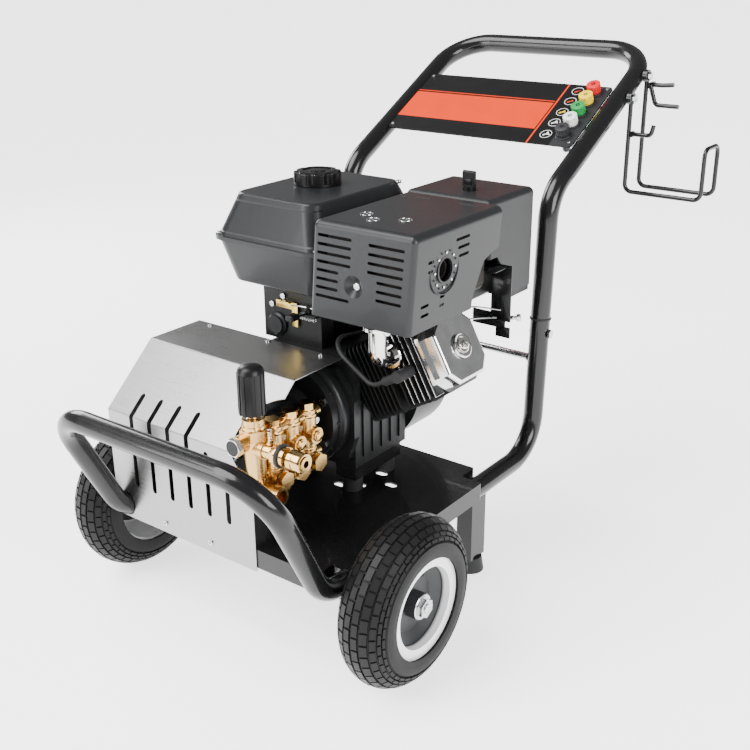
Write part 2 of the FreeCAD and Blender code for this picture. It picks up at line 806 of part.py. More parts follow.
def make_engine():
    plate = box("engine_foot", "-engine_left", "engine_front", "base_bottom",
                "engine_left + engine_right", "engine_depth", "base_thickness")
    plate = rounded("engine_foot_soft", plate, "12", lambda e: along(e, "z"))
    bulk = box("engine_bulk", "crank_x - block_half_width", "engine_front", "base_bottom + 2",
               "block_half_width + cylinder_start", "engine_depth", "block_top - base_bottom - 2")
    bulk = rounded("engine_bulk_soft", bulk, "24",
                   lambda e: along(e, "y") and e.BoundBox.ZMin > number("block_top") - 1)
    deck = cylinder("engine_deck", "cylinder_radius + 8", "cylinder_start", "0", "0", "0")
    place(deck, "crank_x", "cylinder_back", "crank_z", FreeCAD.Rotation(AXES["z"], BORE_AXIS))
    ribs = []
    for i in range(5):
        ribs.append(box(f"engine_rib_{i}", "crank_x - block_half_width - 5",
                        f"engine_front + 18 + {i} * 24", "base_bottom + base_thickness",
                        "block_half_width + cylinder_start + 8", "4", "110"))
    block = fuse("engine_solid", plate, bulk, deck, *ribs)
    tunnel = cylinder("engine_tunnel", "shaft_radius + running_gap", "engine_depth + 12",
                      "crank_x", "engine_front - 1", "crank_z", "y")
    neck = cylinder("filler_hole", "9", "32", "dipstick_x", "engine_front - 1", "dipstick_z", "y")
    room = box("barrel_room", "cylinder_start", "-fin_half_width - 1", "-fin_half_width - 1",
               "cylinder_length", "2 * fin_half_width + 2", "2 * fin_half_width + 2")
    sub_part(cut("engine_bored", block, tunnel, neck, tilted(group("barrel_space", room))),
             "engine_block")

    cover = new_body("side_cover_body")
    pad(cover, "xz", "engine_front - side_cover_depth", "side_cover_depth",
        lambda s: draw_circle(s, "crank_x", "crank_z", "side_cover_radius"))
    body_rounded(cover, "9", lambda e: e.BoundBox.YMax < number("engine_front - side_cover_depth") + 1)
    pad(cover, "xz", "engine_front - 12", "12",
        lambda s: draw_outline(s, [
            ("crank_x - 98", "base_bottom + 20"), ("crank_x + 82", "base_bottom + 20"),
            ("crank_x + 96", "base_bottom + 60"), ("crank_x + 96", "block_top - 60"),
            ("crank_x + 60", "block_top - 14"), ("crank_x - 60", "block_top - 14"),
            ("crank_x - 98", "block_top - 60")]))
    pocket(cover, "xz", "engine_front - side_cover_depth - 1", "side_cover_depth + 2",
           lambda s: draw_circle(s, "crank_x", "crank_z", "shaft_radius + running_gap"))
    pocket(cover, "xz", "engine_front - 13", "14",
           lambda s: draw_circle(s, "dipstick_x", "dipstick_z", "9"))
    sub_part(cover, "crankcase_cover")

    core = cylinder("barrel_core", "cylinder_radius", "cylinder_length", "cylinder_start", "0", "0", "x")
    fins = []
    for i in range(8):
        fins.append(box(f"barrel_fin_{i}", f"cylinder_start + 8 + {i} * fin_pitch",
                        "-fin_half_width", "-fin_half_width",
                        "fin_thickness", "2 * fin_half_width", "2 * fin_half_width"))
    barrel = rounded("barrel_soft", fuse("barrel_fins", core, *fins), "9",
                     lambda e: along(e, "x") and e.Length < number("fin_thickness") + 0.1)
    sub_part(tilted(barrel), "cylinder")

    start = "cylinder_start + cylinder_length"
    head = box("head_core", start, "-fin_half_width + 6", "-fin_half_width + 8",
               "head_length", "2 * fin_half_width - 12", "2 * fin_half_width - 16")
    plates = []
    for i in range(5):
        plates.append(box(f"head_fin_{i}", f"{start} + 5 + {i} * 11", "-fin_half_width",
                          "-fin_half_width + 2", "fin_thickness", "2 * fin_half_width",
                          "2 * fin_half_width - 8"))
    head = rounded("head_soft", fuse("head_fins", head, *plates), "7",
                   lambda e: along(e, "x") and e.Length < number("fin_thickness") + 0.1)
    sub_part(tilted(head), "cylinder_head")

    top = "cylinder_start + cylinder_length + head_length"
    rocker = new_body("rocker_body")

    def octagon(reach, chamfer):
        long = f"{reach} - {chamfer}"
        return [(reach, f"-({long})"), (reach, long), (long, reach), (f"-({long})", reach),
                (f"-({reach})", long), (f"-({reach})", f"-({long})"),
                (f"-({long})", f"-({reach})"), (long, f"-({reach})")]

    pad(rocker, "yz", top, "7", lambda s: draw_outline(s, octagon("rocker_radius", "22")))
    pad(rocker, "yz", f"{top} + 6", "rocker_length - 6",
        lambda s: draw_outline(s, octagon("rocker_radius - 7", "20")))
    body_rounded(rocker, "6", lambda e: e.BoundBox.XMin > number(f"{top} + rocker_length") - 0.1)
    pad(rocker, "yz", f"{top} + rocker_length - 1", "3", lambda s: draw_circle(s, "0", "0", "17"))
    sub_part(tilted(rocker), "valve_cover")

    plug = cylinder("plug_boot", "9", "36", PLUG_ALONG, "-fin_half_width - 36", "-4", "y")
    elbow = cylinder("plug_elbow", "7", "30", f"{PLUG_ALONG} - 30", "-fin_half_width - 28", "-4", "x")
    sub_part(tilted(fuse("plug_cap", plug, elbow)), "spark_plug_cap")


make_engine()


def make_engine_mounts():
    bearers = []
    rubbers = []
    for i, x in enumerate(("-engine_left + 24", "engine_right - 24")):
        bearers.append(box(f"bearer_{i}", f"{x} - bearer_width / 2", "engine_front + 6",
                           "base_bottom - bearer_height", "bearer_width", "engine_depth - 12",
                           "bearer_height"))
        for j, y in enumerate(("engine_front + 24", f"{ENGINE_BACK} - 24")):
            rubbers.append(cylinder(f"rubber_{i}_{j}", "mount_radius",
                                    "base_bottom - bearer_height - tray_top", x, y, "tray_top"))
    sub_part(group("bearers", *bearers), "engine_bearers")
    sub_part(group("rubbers", *rubbers), "engine_mounts")


make_engine_mounts()


def make_crank_train():
    start = "-pump_front + 10"
    shaft = cylinder("crank_bar", "shaft_radius", f"blower_back - ({start})",
                     "crank_x", start, "crank_z", "y")
    sub_part(shaft, "crankshaft")
    disc = cylinder("flywheel_disc", "flywheel_radius - 22", "flywheel_depth - 22",
                    "crank_x", "flywheel_start", "crank_z", "y")
    ring = cylinder("flywheel_ring", "flywheel_radius", "14", "crank_x", "flywheel_start", "crank_z", "y")
    blades = []
    for i in range(12):
        blade = box(f"fan_blade_{i}", "0", "0", "0", "30", "flywheel_depth - 13", "3")
        turn = FreeCAD.Rotation(AXES["y"], i * 30)
        base = turn.multVec(FreeCAD.Vector(56, 0, 0))
        place(blade, f"crank_x + {base.x:.4f}", "flywheel_start + 13", f"crank_z + {base.z:.4f}", turn)
        blades.append(blade)
    wheel_body = fuse("flywheel_fused", disc, ring, *blades)
    bore = cylinder("flywheel_bore", "shaft_radius", "flywheel_depth + 2", "crank_x", "flywheel_start - 1",
                    "crank_z", "y")
    sub_part(cut("flywheel_bored", wheel_body, bore), "flywheel")


make_crank_train()


def make_starter_side():
    front = f"{ENGINE_BACK} + 7"
    drum = cylinder("blower_drum", "blower_radius", f"blower_back - ({front})",
                    "crank_x", front, "crank_z", "y")
    drum = rounded("blower_soft", drum, "10", lambda e: e.BoundBox.YMin > number("blower_back") - 1)
    room = cylinder("blower_room", "blower_radius - 2.5", f"blower_back - ({front}) - 5",
                    "crank_x", f"{front} + 2.5", "crank_z", "y")
    room = rounded("blower_room_soft", room, "7.5", lambda e: e.BoundBox.YMin > number("blower_back") - 4)
    mouth = cylinder("blower_mouth", "recoil_radius - 14", "20",
                     "crank_x", "blower_back - 10", "crank_z", "y")
    hub = cylinder("blower_hub_hole", "shaft_radius + 8", "20", "crank_x", f"{front} - 5", "crank_z", "y")
    sub_part(cut("blower_shell", drum, room, mouth, hub), "blower_housing")

    bowl = cylinder("recoil_bowl", "recoil_radius", "recoil_back - blower_back", "crank_x", "blower_back",
                    "crank_z", "y")
    bowl = rounded("recoil_soft", bowl, "14", lambda e: e.BoundBox.YMin > number("recoil_back") - 1)
    space = cylinder("recoil_space", "recoil_radius - 2.5", "recoil_back - blower_back - 2.5",
                     "crank_x", "blower_back - 1", "crank_z", "y")
    space = rounded("recoil_space_soft", space, "12", lambda e: e.BoundBox.YMin > number("recoil_back") - 6)
    post = cylinder("recoil_post", "8", "recoil_back - blower_back - 8", "crank_x", "blower_back + 6",
                    "crank_z", "y")
    spout = cylinder("rope_spout", "9", "18", "crank_x - 104", "rope_y", "crank_z + rope_rise", "x")
    spout_bore = cylinder("rope_hole", "4", "50", "crank_x - 110", "rope_y", "crank_z + rope_rise", "x")
    shell = fuse("recoil_shell", cut("recoil_hollow", bowl, space), post, spout)
    slots = []
    for i in range(14):
        turn = FreeCAD.Rotation(AXES["y"], i * 360 / 14)
        slot = box(f"recoil_slot_{i}", "0", "0", "0", "30", "20", "7")
        base = turn.multVec(FreeCAD.Vector(42, 0, 0))
        place(slot, f"crank_x + {base.x:.4f}", "recoil_back - 10", f"crank_z + {base.z:.4f}", turn)
        slots.append(slot)
    sub_part(cut("recoil_cut", shell, spout_bore, fuse("recoil_slots", *slots)), "recoil_cover")

    wheel_body = turned("reel_body", [
        ("0", "8 + running_gap"), ("reel_depth", "8 + running_gap"), ("reel_depth", "reel_radius"),
        ("reel_depth - 3", "reel_radius"), ("reel_depth - 4", "rope_rise - 2.5"),
        ("4", "rope_rise - 2.5"), ("3", "reel_radius"), ("0", "reel_radius")])
    place(wheel_body, "crank_x", "rope_y - reel_depth / 2", "crank_z",
          FreeCAD.Rotation(AXES["x"], AXES["y"]))
    sub_part(wheel_body, "recoil_reel")

    rope = cylinder("rope_stub", "2", "52", "crank_x - 112", "rope_y", "crank_z + rope_rise", "x")
    bar = cylinder("grip_bar", "9", "92", "crank_x - 118", "rope_y", "crank_z + rope_rise - 46")
    bar = rounded("grip_bar_soft", bar, "7", lambda e: e.Curve.TypeId == "Part::GeomCircle")
    sub_part(fuse("grip_with_rope", bar, rope), "recoil_grip")


make_starter_side()


# ================================================================ exhaust

def sheared(x, z):
    """An X on the guard's face, which leans to the left towards its foot."""
    return f"{x} - guard_taper * (guard_top - ({z})) / (guard_top - guard_foot)"


def guard_form(name, inset, open_by):
    """The guard's outside, or its inside when set in by the sheet and run out of its open faces."""
    body = new_body(name)
    foot = f"guard_foot - {open_by}"
    lean = f"guard_taper * (guard_top - ({foot})) / (guard_top - guard_foot)"
    pad(body, "xz", f"guard_front + {inset}", f"guard_back - guard_front + {open_by} - {inset}",
        lambda s: draw_outline(s, [
            (f"guard_left - {lean} + {inset}", foot), (f"guard_right - {lean} - {inset}", foot),
            (f"guard_right - {inset}", f"guard_top - {inset}"),
            (f"guard_left + {inset}", f"guard_top - {inset}")]))
    top = number(f"guard_top - {inset}")
    front = number(f"guard_front + {inset}")
    body_rounded(body, f"11 - {inset}", lambda e: e.BoundBox.ZMin > top - 0.1
                 and not e.BoundBox.YMin > front + 100)
    body_rounded(body, f"8 - {inset}", lambda e: e.BoundBox.YMax < front + 0.1
                 and e.BoundBox.ZMax - e.BoundBox.ZMin > 60)
    return body


def make_guard():
    body = guard_form("guard_body", "0", "0")
    room = guard_form("guard_room", "guard_sheet", "3")

    def louvres(sketch):
        for row in range(8):
            z = f"guard_top - 21 - {row} * louvre_pitch"
            short = 4 <= row <= 6
            length = "louvre_length * 0.66" if short else "louvre_length"
            shift = "louvre_length * 0.17" if short else "0"
            draw_slot(sketch, sheared(f"guard_left + 41 - {shift}", z), z, length, "louvre_height")
        for row in range(7):
            z = f"guard_top - 23 - {row} * louvre_pitch"
            short = row >= 4
            length = "louvre_length * 0.72" if short else "louvre_length"
            shift = "louvre_length * 0.14" if short else "0"
            draw_slot(sketch, sheared(f"guard_left + 133 + {shift}", z), z, length, "louvre_height")

    pocket(body, "xz", "guard_front - 1", "4", louvres)

    def side_slots(sketch):
        for y, z, length in ((42, 45, 15), (42, 59, 12), (120, 26, 36), (124, 39, 30), (126, 52, 26),
                             (34, 108, 20), (36, 122, 20), (78, 104, 12), (78, 117, 12)):
            draw_slot(sketch, f"guard_front + {y}", f"guard_top - {z}", str(length), "louvre_height")

    pocket(body, "yz", "guard_right - guard_taper - 6", "20", side_slots)
    corner = [("guard_back + 1", "guard_foot - 1"), ("guard_back - 64", "guard_foot - 1"),
              ("guard_back - 62", "guard_foot + 20"), ("guard_back - 40", "guard_top - 76"),
              ("guard_back - 16", "guard_top - 66"), ("guard_back + 1", "guard_top - 64")]
    pocket(body, "yz", "guard_right - guard_taper - 14", "30", lambda s: draw_outline(s, corner))

    tail_y = "tail_y"
    tail_z = "tail_z"
    hole = cylinder("guard_tail_hole", "tail_hole_radius", "40", "guard_right - 30", tail_y, tail_z, "x")
    wall_x = sheared("guard_right", tail_z)
    lip = cut("guard_lip",
              cylinder("guard_lip_out", "tail_hole_radius + 3", "4", f"{wall_x} - 2", tail_y, tail_z, "x"),
              cylinder("guard_lip_in", "tail_hole_radius", "6", f"{wall_x} - 3", tail_y, tail_z, "x"))
    ring = torus("guard_ring", "2.1 * tail_hole_radius", "1.4", f"{wall_x} - 0.6", tail_y, tail_z, "x")
    dimple_x = sheared("guard_left + 79", "dimple_z")
    hollow = cone("guard_dimple_in", "17", "6", "7", dimple_x, "guard_front", "dimple_z", "y")
    dimple = cut("guard_dimple",
                 cone("guard_dimple_out", "19", "8", "8.6", dimple_x, "guard_front", "dimple_z", "y"),
                 hollow,
                 cylinder("guard_dimple_hole", "3.4", "20", dimple_x, "guard_front", "dimple_z", "y"))
    opened = cut("guard_opened", body, room, hole,
                 cylinder("guard_dimple_seat", "17", "3", dimple_x, "guard_front - 1", "dimple_z", "y"))
    sub_part(fuse("guard_fused", opened, lip, ring, dimple), "muffler_guard")


make_guard()


def make_muffler():
    inset = "16"
    left = f"guard_left + {inset}"
    width = f"guard_right - guard_taper - 8 - ({left})"
    front = "guard_front + 11"
    depth = f"guard_back - {inset} - ({front})"
    foot = "guard_foot + 14"
    height = f"guard_top - {inset} - ({foot})"
    can = rounded("muffler_soft", box("muffler_can", left, front, foot, width, depth, height), "18",
                  lambda e: along(e, "y"))
    room = box("muffler_room", f"{left} + 6", f"{front} + 2", f"{foot} + 6", f"{width} - 12",
               f"{depth} - 4", f"{height} - 12")
    right = f"({left}) + ({width})"
    tail = cylinder("muffler_tail", "tail_hole_radius - 3", "16", f"{right} - 8", "tail_y", "tail_z", "x")
    tail_bore = cylinder("muffler_tail_bore", "tail_hole_radius - 5", "40", f"{right} - 20",
                         "tail_y", "tail_z", "x")
    inlet = cylinder("muffler_inlet", "exhaust_radius", "14", "exhaust_x", "exhaust_y", "guard_foot + 2")
    inlet_bore = cylinder("muffler_inlet_bore", "exhaust_radius - 2", "40", "exhaust_x", "exhaust_y",
                          "guard_foot - 4")
    solid = fuse("muffler_solid", can, tail, inlet)
    sub_part(cut("muffler_hollow", solid, room, tail_bore, inlet_bore), "muffler")

    low = point("exhaust_x", "exhaust_y", "exhaust_z")
    high = point("exhaust_x", "exhaust_y", "guard_foot + 2")
    port = point("exhaust_x", "cylinder_back - fin_half_width", "exhaust_z")
    path = bent_path([high, low, port], [number("exhaust_radius") * 1.5])
    outer = number("exhaust_radius")
    pipe = swept(path, outer).cut(swept(path, outer - 2))
    sub_part(feature("exhaust_bend", pipe), "exhaust_pipe")


make_muffler()


# ================================================================ fuel

def tank_half(name, low, low_margin, high, high_margin, inset, corner):
    """A tapering half of the tank between two levels, with softened corners."""
    wedge = doc.addObject("Part::Wedge", name + "_wedge")
    bind(wedge, Ymin=low, Ymax=high)
    for prefix, margin in (("", low_margin), ("2", high_margin)):
        step = f"({margin}) + {inset}"
        bind(wedge, **{
            f"X{prefix}min": f"-tank_left + {step}", f"X{prefix}max": f"tank_right - ({step})",
            f"Z{prefix}min": f"-tank_back + {step}", f"Z{prefix}max": f"-tank_front - ({step})"})
    place(wedge, "0", "0", "0", FreeCAD.Rotation(AXES["x"], 90))
    return rounded(name, wedge, corner, lambda e: e.BoundBox.ZMax - e.BoundBox.ZMin > 20)


def make_tank():
    high = "tank_bevel + 4"
    low = "tank_bevel - 4"
    top = number("tank_top")
    foot = number("tank_foot")
    upper_out = rounded("tank_upper",
                        tank_half("tank_upper_form", "tank_seam", "6", "tank_top", high, "0", "26"),
                        "6", lambda e: e.BoundBox.ZMin > top - 0.1)
    lower_out = rounded("tank_lower",
                        tank_half("tank_lower_form", "tank_foot", low, "tank_seam", "6", "0", "26"),
                        "6", lambda e: e.BoundBox.ZMax < foot + 0.1)
    upper_in = tank_half("tank_upper_room", "tank_seam - 1", "6", "tank_top - tank_wall", high,
                         "tank_wall + 2", "24")
    lower_in = tank_half("tank_lower_room", "tank_foot + tank_wall", low, "tank_seam", "6",
                         "tank_wall + 2", "24")
    flange = rounded("tank_flange_soft",
                     box("tank_flange", "-tank_left", "tank_front", "tank_seam - 3",
                         "tank_left + tank_right", "tank_back - tank_front", "6"),
                     "32", lambda e: along(e, "z"))
    neck = cylinder("tank_neck", "filler_radius", "12", "filler_x", "filler_y", "tank_top - 4")
    neck_bore = cylinder("tank_neck_bore", "filler_radius - 2.5", "30",
                         "filler_x", "filler_y", "tank_top - 12")
    outlet = cylinder("tank_outlet", "5", "16", "tank_outlet_x", "tank_outlet_y", "tank_foot - 12")
    outlet_bore = cylinder("tank_outlet_bore", "2.2", "40",
                           "tank_outlet_x", "tank_outlet_y", "tank_foot - 20")
    solid = fuse("tank_solid", upper_out, lower_out, flange, neck, outlet)
    sub_part(cut("tank_hollow", solid, upper_in, lower_in, neck_bore, outlet_bore), "fuel_tank")

    disc = cylinder("cap_disc", "cap_radius", "cap_height", "filler_x", "filler_y", "tank_top + 1")
    scallops = []
    for i in range(8):
        turn = math.radians(45 * i + 22.5)
        scallops.append(cylinder(f"cap_scallop_{i}", "9", "cap_height",
                                 f"filler_x + (cap_radius + 4) * {math.cos(turn):.5f}",
                                 f"filler_y + (cap_radius + 4) * {math.sin(turn):.5f}", "tank_top + 5"))
    seat = cylinder("cap_seat", "filler_radius + bench_gap", "9", "filler_x", "filler_y", "tank_top")
    cap = cut("cap_cut", disc, fuse("cap_scallops", *scallops), seat)
    cap = rounded("cap_soft", cap, "2",
                  lambda e: e.BoundBox.ZMin > number("tank_top + 1 + cap_height") - 0.1)
    sub_part(cap, "fuel_cap")

    bracket = []
    for i, y in enumerate(("engine_front + 16", f"{ENGINE_BACK} - 50")):
        bracket.append(box(f"tank_leg_{i}", "-104", y, "block_top", "120", "30", "tank_foot - block_top"))
    shelf = box("throttle_shelf", "throttle_x - 10", "throttle_y - 8", "throttle_z - 4", "26 - throttle_x",
                "engine_front + 18 - throttle_y + 8", "4")
    post = cylinder("throttle_post", "3 - running_gap", "16", "throttle_x", "throttle_y", "throttle_z - 2")
    front_leg = fuse("tank_leg_front", bracket[0], shelf, post)
    sub_part(group("tank_legs", front_leg, bracket[1]), "tank_brackets")


make_tank()


# ================================================================ air cleaner and carburettor

def make_air_cleaner():
    def side(inset, drop):
        front = f"filter_front + {inset}"
        back = f"filter_back - {inset}"
        top = f"filter_top - {inset}"
        return [(front, top), (front, f"filter_step - {drop}"),
                (f"filter_front + 26 - {inset}", f"filter_step - {drop}"),
                (f"filter_front + 36 - {inset}", f"filter_step - 12 - {drop}"),
                (f"filter_front + 62 - {inset}", f"filter_foot + 2 - {drop}"),
                (f"filter_front + 72 - {inset}", f"filter_foot - {drop}"),
                (back, f"filter_foot - {drop}"), (back, top)]

    def form(name, inset, drop):
        body = new_body(name)
        pad(body, "yz", f"filter_left + {inset}", f"filter_right - filter_left - 2 * {inset}",
            lambda s: draw_outline(s, side(inset, drop)))
        top = number(f"filter_top - {inset}")
        body_rounded(body, f"10 - {inset}", lambda e: e.BoundBox.ZMin > top - 0.1)
        body_rounded(body, f"7 - {inset}", lambda e: along(e, "z") and e.Length > 50)
        return body

    outside = form("filter_form", "0", "0")
    inside = form("filter_room", "filter_wall", "4")
    hole = cylinder("filter_cover_hole", "5", "20", "knob_x", "knob_y", "filter_top - 10")
    sub_part(cut("filter_cover_cut", outside, inside, hole), "air_cleaner_cover")

    tab = rounded("knob_tab_soft",
                  box("knob_tab", "knob_x - 12", "knob_y - 3.5", "filter_top + 4", "24", "7", "27"),
                  "2.5", lambda e: True)
    collar = cylinder("knob_collar", "11", "6", "knob_x", "knob_y", "filter_top + bench_gap")
    stem = cylinder("knob_stem", "4", "26", "knob_x", "knob_y", "filter_top - 22")
    sub_part(fuse("knob_whole", tab, collar, stem), "air_cleaner_knob")

    inner = "filter_wall + 2"
    plate = box("filter_plate", f"filter_left + {inner}", "filter_front + 78", "filter_foot - 10",
                f"filter_right - filter_left - 2 * ({inner})",
                f"filter_back - filter_front - 78 - {inner}", "8")
    duct = box("filter_duct", "filter_left + 42", "filter_front - 8", "filter_foot - 10", "76", "92", "52")
    duct = rounded("filter_duct_soft", duct, "8", lambda e: along(e, "y"))
    duct_room = box("filter_duct_room", "filter_left + 47", "filter_front + 4", "filter_foot - 4",
                    "66", "74", "70")
    spigot = cylinder("filter_stud", "4", "70", "knob_x", "knob_y", "filter_foot - 6")
    spigot_hole = cylinder("filter_stud_post", "7", "50", "knob_x", "knob_y", "filter_foot - 6")
    neck = box("filter_neck", "carb_x - 21", "filter_front - 9", "carb_z - 21", "42", "24",
               "filter_foot - carb_z + 16")
    neck_bore = cylinder("filter_neck_bore", "11", "18", "carb_x", "filter_front - 10", "carb_z", "y")
    base = fuse("filter_base_fused", cut("filter_duct_cut", duct, duct_room), plate, spigot, spigot_hole,
                cut("filter_neck_cut", neck, neck_bore))
    sub_part(base, "air_cleaner_base")

    barrel = cylinder("carb_barrel", "19", "41", "carb_x", "filter_front - 50", "carb_z", "y")
    bowl = cylinder("carb_bowl", "20", "30", "carb_x", "filter_front - 31", "carb_z - 44")
    block = box("carb_block", "carb_x - 20", "filter_front - 49", "carb_z - 18", "40", "34", "34")
    throat = cylinder("carb_throat", "11", "60", "carb_x", "filter_front - 56", "carb_z", "y")
    pins = []
    for name, z in (("choke", "carb_z + 6"), ("valve", "carb_z - 30")):
        pins.append(cylinder(f"{name}_pin", "3 - running_gap", "14",
                             "carb_x + 18", "filter_front - 33", z, "x"))
    sub_part(cut("carb_bored", fuse("carb_solid", barrel, bowl, block, *pins), throat), "carburettor")


make_air_cleaner()


def lever(name, label, pivot, axis, arm, end):
    """A flat arm on a round boss, with a finger pad at its end."""
    x, y, z = pivot
    hole_start = (x, y, f"{z} - 8") if axis == "z" else (f"{x} - 8", y, z)
    boss = cylinder(f"{name}_boss", "6", "6", x, y, z, axis)
    pin_hole = cylinder(f"{name}_pin_hole", "3", "20", *hole_start, axis)
    sub_part(cut(f"{name}_bored", fuse(f"{name}_whole", boss, arm, end), pin_hole), label)


def make_levers():
    x, y, z = "throttle_x", "throttle_y", "throttle_z + bench_gap"
    arm = box("throttle_arm", f"{x} - 4", f"{y} - 30", f"{z} + 1", "8", "30", "3")
    tip = box("throttle_tip", f"{x} - 7", f"{y} - 46", f"{z} - 2", "14", "20", "10")
    tip = rounded("throttle_tip_soft", tip, "3", lambda e: True)
    lever("throttle", "throttle_lever", (x, y, z), "z", arm, tip)
    x, y, z = "carb_x + 20.3", "filter_front - 33", "carb_z + 6"
    arm = box("choke_arm", f"{x} + 2", f"{y} - 4", z, "3", "8", "30")
    tip = box("choke_tip", f"{x} - 1", f"{y} - 7", f"{z} + 24", "10", "14", "16")
    tip = rounded("choke_tip_soft", tip, "2.5", lambda e: True)
    lever("choke", "choke_lever", (x, y, z), "x", arm, tip)

    x, y, z = "carb_x + 21.5", "filter_front - 33", "carb_z - 30"
    arm = box("valve_arm", f"{x} + 2", f"{y} - 4", f"{z} - 26", "3", "8", "26")
    tip = box("valve_tip", f"{x} - 1", f"{y} - 7", f"{z} - 38", "9", "14", "16")
    tip = rounded("valve_tip_soft", tip, "2.5", lambda e: True)
    lever("fuel_valve", "fuel_valve_lever", (x, y, z), "x", arm, tip)


make_levers()


def make_lines():
    start = point("tank_outlet_x", "tank_outlet_y", "tank_foot - 12")
    end = point("carb_x - 20", "filter_front - 36", "carb_z - 12")
    drop = FreeCAD.Vector(start.x, start.y, end.z)
    radius = 0.45 * min((drop - start).Length, (end - drop).Length)
    line = swept(bent_path([start, drop, end], [radius]), 4)
    sub_part(feature("fuel_hose", line), "fuel_line")


make_lines()


# ================================================================ pump

def make_pump():
    case = box("pump_case", "-pump_left", "-pump_front", "crank_z - pump_half_height",
               "pump_left + pump_right", "pump_front + pump_back", "2 * pump_half_height")
    case = rounded("pump_case_soft", case, "14", lambda e: along(e, "y"))
    neck = cylinder("pump_neck", "pump_half_height + 2", "engine_front - side_cover_depth - pump_back + 2",
                    "crank_x", "pump_back - 2", "crank_z", "y")
    disc = cylinder("pump_flange", "flange_radius", "flange_depth", "crank_x",
                    "engine_front - side_cover_depth - flange_depth", "crank_z", "y")
    ribs = []
    for i in range(4):
        ribs.append(box(f"pump_rib_{i}", "-pump_left - 4", f"-pump_front + 14 + {i} * 22",
                        "crank_z - pump_half_height + 16", "6", "4", "2 * pump_half_height - 32"))
    sight = cylinder("pump_sight", "12", "6", "crank_x - 8", "-pump_front - 5", "crank_z - 20", "y")
    cap = cylinder("pump_oil_cap", "11", "16", "crank_x - 20", "0", "crank_z + pump_half_height - 2")
    guides = []
    for i in range(3):
        y = f"column_middle + ({i} - 1) * column_pitch"
        guides.append(cylinder(f"pump_guide_{i}", "15", "manifold_face - pump_right + 4",
                               "pump_right - 4", y, "crank_z - 4", "x"))
    whole = fuse("pump_whole", case, neck, disc, sight, cap, *ribs, *guides)
    bore = cylinder("pump_bore", "shaft_radius + running_gap", "200",
                    "crank_x", "-pump_front + 8", "crank_z", "y")
    sub_part(cut("pump_bored", whole, bore), "pump_body")

    plate = box("manifold_plate", "manifold_face", "-manifold_front", "manifold_foot + 8", "10",
                "manifold_front + manifold_back", "manifold_top - manifold_foot - 16")
    bars = []
    for i, z in enumerate(("manifold_foot + 22", "manifold_top - 9")):
        bars.append(cylinder(f"manifold_bar_{i}", "8", "manifold_front + manifold_back", "column_x",
                             "-manifold_front", z, "y"))
    columns = []
    for i in range(3):
        y = f"column_middle + ({i} - 1) * column_pitch"
        columns.append(cylinder(f"column_{i}", "column_radius", "manifold_top - manifold_foot",
                                "column_x", y, "manifold_foot"))
        columns.append(cylinder(f"column_boss_{i}", "column_radius - 1", "22", "column_x - 2", y,
                                "crank_z", "x"))
        columns.append(cylinder(f"column_foot_{i}", "column_radius", "20", "column_x - 4", y,
                                "lower_cap_height", "x"))
    ears = []
    for i in range(3):
        y = f"column_middle + ({i} - 0.5) * column_pitch"
        for j, z in enumerate(("crank_z - 16", "crank_z + 14")):
            ears.append(cylinder(f"manifold_ear_{i}_{j}", "8", "12", "manifold_face", y, z, "x"))
    solid = fuse("manifold_solid", plate, *bars, *columns, *ears)
    sub_part(solid, "pump_manifold")

    caps = []
    for i in range(3):
        y = f"column_middle + ({i} - 1) * column_pitch"
        caps.append(fuse(f"upper_cap_{i}",
                         hexagon(f"upper_hex_{i}", "cap_hex", "9", "column_x", y, "manifold_top + 2"),
                         cylinder(f"upper_collar_{i}", "cap_hex + 1", "2", "column_x", y, "manifold_top")))
        caps.append(fuse(f"lower_cap_{i}",
                         hexagon(f"lower_hex_{i}", "lower_cap_hex - 1", "8", "column_x + 18", y,
                                 "lower_cap_height", "x"),
                         cylinder(f"lower_collar_{i}", "lower_cap_hex", "2", "column_x + 16", y,
                                  "lower_cap_height", "x")))
    sub_part(group("valve_cap_group", *caps), "valve_caps")


make_pump()


